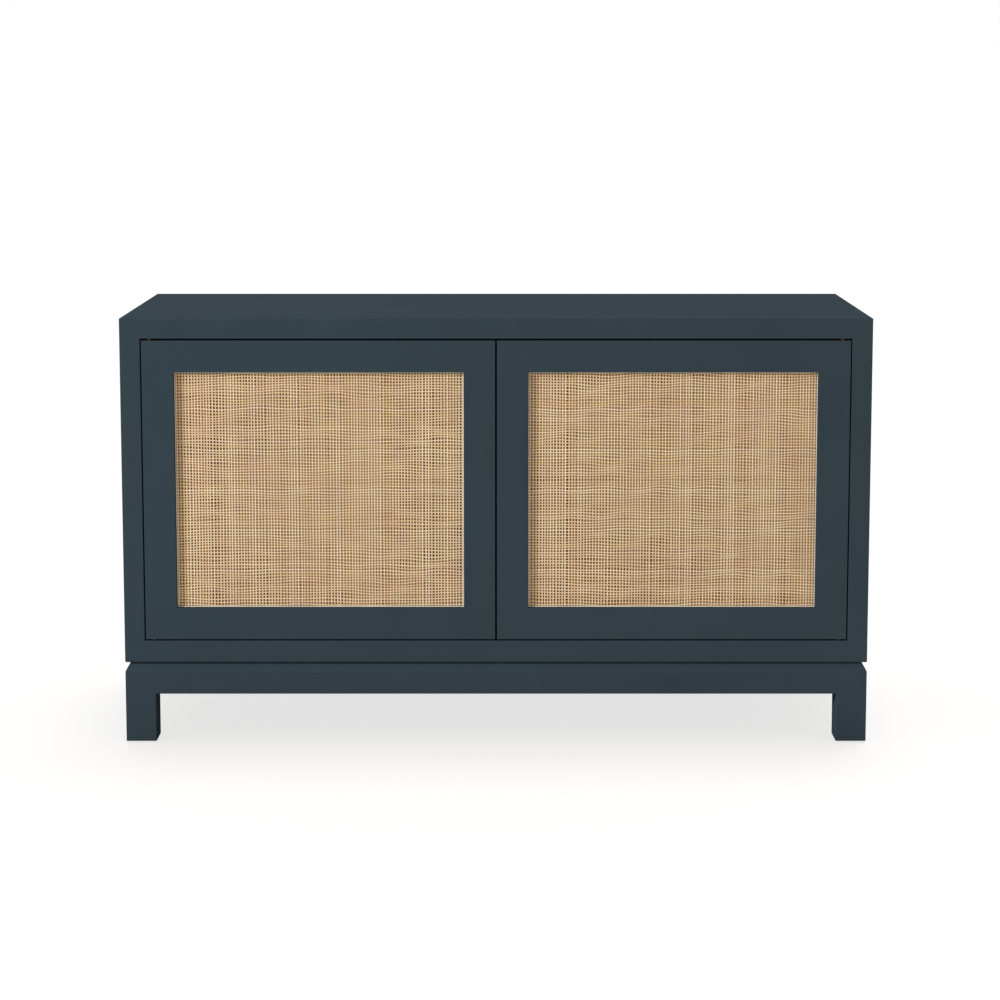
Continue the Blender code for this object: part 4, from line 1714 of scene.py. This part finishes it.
@dataclass
class Hinge:
    """Where one pivot hinge turns, and its screws.

    Args:
        hand: the door.
        level: the door's end.
        nose: from the pivot to the leaf's nose.
        bore: the radius of the pivot's bore.
        screws: how far behind the pivot the screws are.
    """

    hand: Hand
    level: Level
    nose: float = 0.006
    bore: float = 0.0029
    screws: Pair = (0.010, 0.020)

    def leaf(self, kind: str) -> Box:
        """The box of the case leaf or the door leaf."""
        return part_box(f"{label(self.hand)}_{label(self.level)}_hinge_{kind}_leaf")

    def pivot(self) -> Pair:
        """Finds the pivot.

        Returns:
            Its X and Y.
        """
        low, high = self.leaf("door")
        outer = high.x if self.hand is Hand.RIGHT else low.x
        return outer - self.hand.value * self.nose, (low.y + high.y) / 2

    def screw_places(self, kind: str, planes: Outline) -> list[Matrix]:
        """Places the screws of a leaf.

        Args:
            kind: case or door.
            planes: the shared planes.

        Returns:
            The placement of each head, facing the gap above or below the door.
        """
        x, y = self.pivot()
        low, high = self.leaf("door")
        if kind == "case":
            z = planes.ceiling if self.level is Level.UPPER else planes.floor
            facing = -self.level.value
        else:
            z = high.z if self.level is Level.UPPER else low.z
            facing = self.level.value
        places = [(x - self.hand.value * back, y, z) for back in self.screws]
        return [aim(place, (0.0, 0.0, facing)) for place in places]


@dataclass
class ScrewHead:
    """A cross-recessed screw head with a low dome.

    Args:
        radius: the head's radius.
        rise: how far the dome stands proud.
        sink: how deep the head's cone goes in.
        sides: the steps round it.
        tip: the radius of the cone's end, as a share of the head's.
        dome: the points of the dome, as shares of the radius and the rise.
        slot: half the length and half the width of a slot, as shares of the radius.
        slot_depth: its depth, as a share of the cone's.
        turn: how much further each screw is turned than the one before.
    """

    radius: float = 0.0030
    rise: float = 0.0006
    sink: float = 0.0012
    sides: int = 20
    tip: float = 0.55
    dome: tuple[Pair, ...] = ((1.0, 0.0), (0.93, 0.45), (0.62, 0.86), (0.0, 1.0))
    slot: Pair = (0.52, 0.13)
    slot_depth: float = 0.6
    turn: float = 0.71

    def shape(self) -> Shape:
        """Makes one head.

        Returns:
            The head, at the origin and facing +Z.
        """
        profile = [(0.0, -self.sink), (self.radius * self.tip, -self.sink)]
        profile += [(self.radius * out, self.rise * up) for out, up in self.dome]
        head = turned(profile, Matrix.Identity(4), self.sides, False)
        reach, width = (self.radius * share for share in self.slot)
        low, high = -self.sink * self.slot_depth, self.rise + OVERCUT
        first = block((-reach, -width, low), (reach, width, high))
        second = block((-width, -reach, low), (width, reach, high))
        return combined(head, combined(first, second, "UNION"))

    def drive(self, name: str, places: list[Matrix], finish: Finish, body: str) -> None:
        """Puts a screw at each place, turned a little differently each time.

        Args:
            name: the name of the piece that holds the screws.
            places: where each head sits, facing its own +Z.
            finish: the finish of the screws.
            body: the CAD body that carries them.
        """
        head = self.shape()
        heads = []
        for number, place in enumerate(places):
            turn = Matrix.Rotation(number * self.turn, 4, "Z")
            copy = head.copy()
            bmesh.ops.transform(copy, matrix=place @ turn, verts=copy.verts)
            heads.append(copy)
        head.free()
        add_piece(name, gathered(heads), finish, body)


@dataclass
class Latches:
    """The push latches on the divider, and all the screws of the chest.

    Args:
        planes: the shared planes.
        latch_edge: the rounding of a latch body's edges.
        latch_screws: where a latch's screws sit along it, as shares of its length.
        latch_rise: how high up it they sit, as a share of its height.
        strike_screws: how far a strike's screws sit from its middle.
        block_inset: how far a corner block's screw sits from the chest's two outer faces.
        back_inset: how far the back panel's screws sit from its edges.
        back_screws: how many there are along its top or bottom, and up a side.
    """

    planes: Outline
    latch_edge: float = 0.0008
    latch_screws: Pair = (0.16, 0.84)
    latch_rise: float = 0.2
    strike_screws: float = 0.014
    block_inset: float = 0.0582
    back_inset: float = 0.005
    back_screws: tuple[int, int] = (6, 4)

    def latch_places(self, hand: Hand) -> list[Matrix]:
        """Places the screws through a latch body into the divider.

        Args:
            hand: the half of the chest.

        Returns:
            The placement of each head.
        """
        low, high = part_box(f"{label(hand)}_touch_latch_body")
        x = high.x if hand is Hand.RIGHT else low.x
        z = low.z + (high.z - low.z) * self.latch_rise
        places = []
        for share in self.latch_screws:
            y = low.y + (high.y - low.y) * share
            places.append(aim((x, y, z), (hand.value, 0.0, 0.0)))
        return places

    def strike_places(self, hand: Hand) -> list[Matrix]:
        """Places the screws through a strike plate into the door.

        Args:
            hand: the half of the chest.

        Returns:
            The placement of each head.
        """
        low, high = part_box(f"{label(hand)}_strike_plate")
        middle = (low + high) / 2
        rises = (-self.strike_screws, self.strike_screws)
        return [aim((middle.x, high.y, middle.z + rise), NORMAL_TO["Y"]) for rise in rises]

    def block_places(self) -> list[Matrix]:
        """Places the screws up through the corner blocks into the case.

        Returns:
            The placement of each head.
        """
        places = []
        for end in End:
            for hand in Hand:
                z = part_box(f"corner_block_{label(end)}_{label(hand)}")[0].z
                x = hand.value * (self.planes.side - self.block_inset)
                y = end.value * (self.planes.back - self.block_inset)
                places.append(aim((x, y, z), -NORMAL_TO["Z"]))
        return places

    def back_places(self) -> list[Matrix]:
        """Places the screws round the edge of the back panel.

        Returns:
            The placement of each head.
        """
        low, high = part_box("back_panel")
        inset = Vector((self.back_inset, 0.0, self.back_inset))
        low, high = low + inset, high - inset
        columns, rows = self.back_screws
        across = np.linspace(low.x, high.x, columns)
        up = np.linspace(low.z, high.z, rows)[1:-1]
        spots = [(x, z) for x in across for z in (low.z, high.z)]
        spots += [(x, z) for x in (low.x, high.x) for z in up]
        return [aim((x, high.y, z), NORMAL_TO["Y"]) for x, z in spots]

    def build(self) -> None:
        """Dresses the latches and drives every screw."""
        leaf_screw = ScrewHead(radius=0.0029)
        small_screw = ScrewHead(radius=0.0018, sink=0.0008)
        pan_screw = ScrewHead(radius=0.0036, rise=0.0014, sink=0.0004)
        case_places = []
        latch_places = []
        for hand in Hand:
            name = label(hand)
            add_softened(f"{name}_touch_latch_body", NYLON, "case", self.latch_edge)
            dress_node(f"{name}_latch_plunger", STEEL)
            latch_places += self.latch_places(hand)
            leaf_places = []
            for level in Level:
                hinge = Hinge(hand, level)
                case_places += hinge.screw_places("case", self.planes)
                leaf_places += hinge.screw_places("door", self.planes)
            body = f"{name}_door"
            leaf_screw.drive(f"{name}_door_leaf_screws", leaf_places, BRASS, body)
            leaf_screw.drive(f"{name}_strike_screws", self.strike_places(hand), STEEL, body)
        leaf_screw.drive("case_leaf_screws", case_places, BRASS, "case")
        small_screw.drive("latch_screws", latch_places, STEEL, "case")
        pan_screw.drive("corner_block_screws", self.block_places(), STEEL, "case")
        pan_screw.drive("back_panel_screws", self.back_places(), STEEL, "case")


# Studio


@dataclass(frozen=True)
class SoftSun:
    """A far, soft lamp.

    Args:
        name: the lamp's name.
        towards: the direction to it.
        strength: how strong it is.
        softness: how wide it looks, in degrees.
    """

    name: str
    towards: Triple
    strength: float
    softness: float

    def add(self) -> None:
        """Puts the lamp in the scene."""
        lamp = bpy.data.lights.new(self.name, "SUN")
        lamp.energy = self.strength
        lamp.angle = math.radians(self.softness)
        holder = linked(self.name, lamp)
        holder.rotation_mode = "QUATERNION"
        holder.rotation_quaternion = Vector(self.towards).to_track_quat("Z", "Y")


@dataclass(frozen=True)
class Softbox:
    """A round lamp close by, which lights the chest and leaves the floor alone.

    Args:
        name: the lamp's name.
        place: where it hangs.
        target: where it points.
        power: its power, in watts.
        width: its width.
        colour: the colour of its light.
    """

    name: str
    place: Triple
    target: Triple
    power: float
    width: float
    colour: Triple

    def add(self) -> None:
        """Puts the lamp in the scene."""
        lamp = bpy.data.lights.new(self.name, "AREA")
        lamp.shape = "DISK"
        lamp.size = self.width
        lamp.energy = self.power
        lamp.color = self.colour
        holder = linked(self.name, lamp)
        holder.location = self.place
        back = Vector(self.place) - Vector(self.target)
        holder.rotation_mode = "QUATERNION"
        holder.rotation_quaternion = back.to_track_quat("Z", "Y")
        spared = bpy.data.collections.new("spared_floor")
        spared.objects.link(bpy.data.objects[FLOOR])
        spared.collection_objects[0].light_linking.link_state = "EXCLUDE"
        holder.light_linking.receiver_collection = spared


@dataclass
class Studio:
    """A white room with even light, a soft key from the upper left, and the camera.

    Args:
        planes: the shared planes.
        distance: from the front of the chest to the camera.
        above: from the top of the chest up to the camera.
        aside: how far right of the chest's middle the camera stands.
        pitch: how far the camera looks down, in degrees.
        lens: its focal length, in millimetres.
        shift: its vertical shift.
        sight: how far the camera sees.
        room_light: the strength of the even light.
        room_colour: its colour.
        floor_reach: half the width of the floor.
        floor_tone: the floor's own colour.
        floor_glow: the share of plain white in what is seen of the floor.
        floor_white: the strength of that white. The floor's own light is weaker than 1, so that
            the two come to white together where no shadow falls.
    """

    planes: Outline
    distance: float = 4.0
    above: float = 0.3924
    aside: float = 0.0064
    pitch: float = 7.02
    lens: float = 89.49
    shift: float = -0.12
    sight: float = 200.0
    room_light: float = 0.48
    room_colour: Triple = (1.06, 1.0, 0.93)
    floor_reach: float = 60.0
    floor_tone: float = 0.90
    floor_glow: float = 0.60
    floor_white: float = 1.23

    def lamps(self) -> list[SoftSun | Softbox]:
        """Lists the lamps.

        Returns:
            The key, one from above, and fills from the front and the back.
        """
        return [
            Softbox(
                "key",
                place=(-7.2, -4.3, 3.4),
                target=(0.0, 0.0, 0.4),
                power=700.0,
                width=1.2,
                colour=(0.93, 1.0, 1.07),
            ),
            SoftSun("overhead", (0.05, 0.22, 0.97), strength=1.02, softness=24.0),
            SoftSun("front_fill", (0.45, -1.0, 0.04), strength=0.30, softness=50.0),
            SoftSun("rear_fill", (0.50, 0.85, 0.08), strength=0.60, softness=50.0),
        ]

    def seen(self, wiring: Wiring) -> Socket:
        """Tells what is seen from what only lights.

        Args:
            wiring: the tree of the world or the floor.

        Returns:
            1 for rays from the camera, a mirror or a glass, and 0 for light.
        """
        path = wiring.node("LightPath").outputs
        total = path["Is Camera Ray"]
        for name in ("Is Glossy Ray", "Is Transmission Ray"):
            total = wiring.node("Math", {0: total, 1: path[name]}, operation="MAXIMUM").outputs[0]
        return total

    def light_room(self) -> None:
        """Makes the world: white where it is seen, and an even light elsewhere."""
        world = bpy.data.worlds.new("room")
        world.use_nodes = True
        bpy.context.scene.world = world
        wiring = Wiring(world.node_tree)
        light = world.node_tree.nodes["Background"]
        wiring.feed(light.inputs["Color"], (*self.room_colour, 1.0))
        wiring.feed(light.inputs["Strength"], self.room_light)
        white = wiring.node("Background", {"Color": WHITE, "Strength": 1.0})
        feeds = {0: self.seen(wiring), 1: light.outputs[0], 2: white.outputs[0]}
        mixed = wiring.node("MixShader", feeds)
        end = world.node_tree.nodes["World Output"]
        wiring.feed(end.inputs["Surface"], mixed.outputs[0])

    def lay_floor(self) -> None:
        """Lays a wide white floor that keeps the chest's shadow."""
        bm = bmesh.new()
        bmesh.ops.create_grid(bm, x_segments=1, y_segments=1, size=self.floor_reach)
        floor = loose_object(FLOOR, bm)
        material = bpy.data.materials.new(FLOOR)
        material.use_nodes = True
        wiring = Wiring(material.node_tree)
        shader = material.node_tree.nodes["Principled BSDF"]
        tone = self.floor_tone
        wiring.feed(shader.inputs["Base Color"], (tone, tone, tone, 1.0))
        wiring.feed(shader.inputs["Roughness"], 1.0)
        wiring.feed(shader.inputs["Specular IOR Level"], 0.0)
        glow = wiring.node("Emission", {"Color": WHITE, "Strength": self.floor_white})
        seen = self.seen(wiring)
        share = wiring.node("Math", {0: seen, 1: self.floor_glow}, operation="MULTIPLY")
        feeds = {0: share.outputs[0], 1: shader.outputs[0], 2: glow.outputs[0]}
        mixed = wiring.node("MixShader", feeds)
        end = material.node_tree.nodes["Material Output"]
        wiring.feed(end.inputs["Surface"], mixed.outputs[0])
        floor.data.materials.append(material)

    def place_camera(self) -> None:
        """Puts the camera at the photograph's place."""
        camera = bpy.data.cameras.new("camera")
        camera.lens = self.lens
        camera.shift_y = self.shift
        camera.clip_end = self.sight
        holder = linked("camera", camera)
        y = self.planes.front - self.distance
        holder.location = (self.aside, y, self.planes.height + self.above)
        holder.rotation_euler = (math.radians(90.0 - self.pitch), 0.0, 0.0)
        bpy.context.scene.camera = holder

    def build(self) -> None:
        """Builds the room, the lamps and the camera."""
        bpy.context.scene.view_settings.view_transform = "Standard"
        self.light_room()
        self.lay_floor()
        for lamp in self.lamps():
            lamp.add()
        self.place_camera()


def corners(box: Box) -> list[list[float]]:
    """A box's two corners as plain lists of numbers."""
    return [list(corner) for corner in box]


def main() -> None:
    """Builds the chest round the frame, then the studio."""
    logging.basicConfig(level=logging.INFO, format="%(name)s: %(message)s")
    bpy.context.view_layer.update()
    planes = Outline.measured()
    Studio(planes).build()
    Case(planes).build()
    Base(planes).build()
    for hand in Hand:
        Grommet(hand).build()
        Door(hand, planes).build()
    Latches(planes).build()


if __name__ == "__main__":
    main()
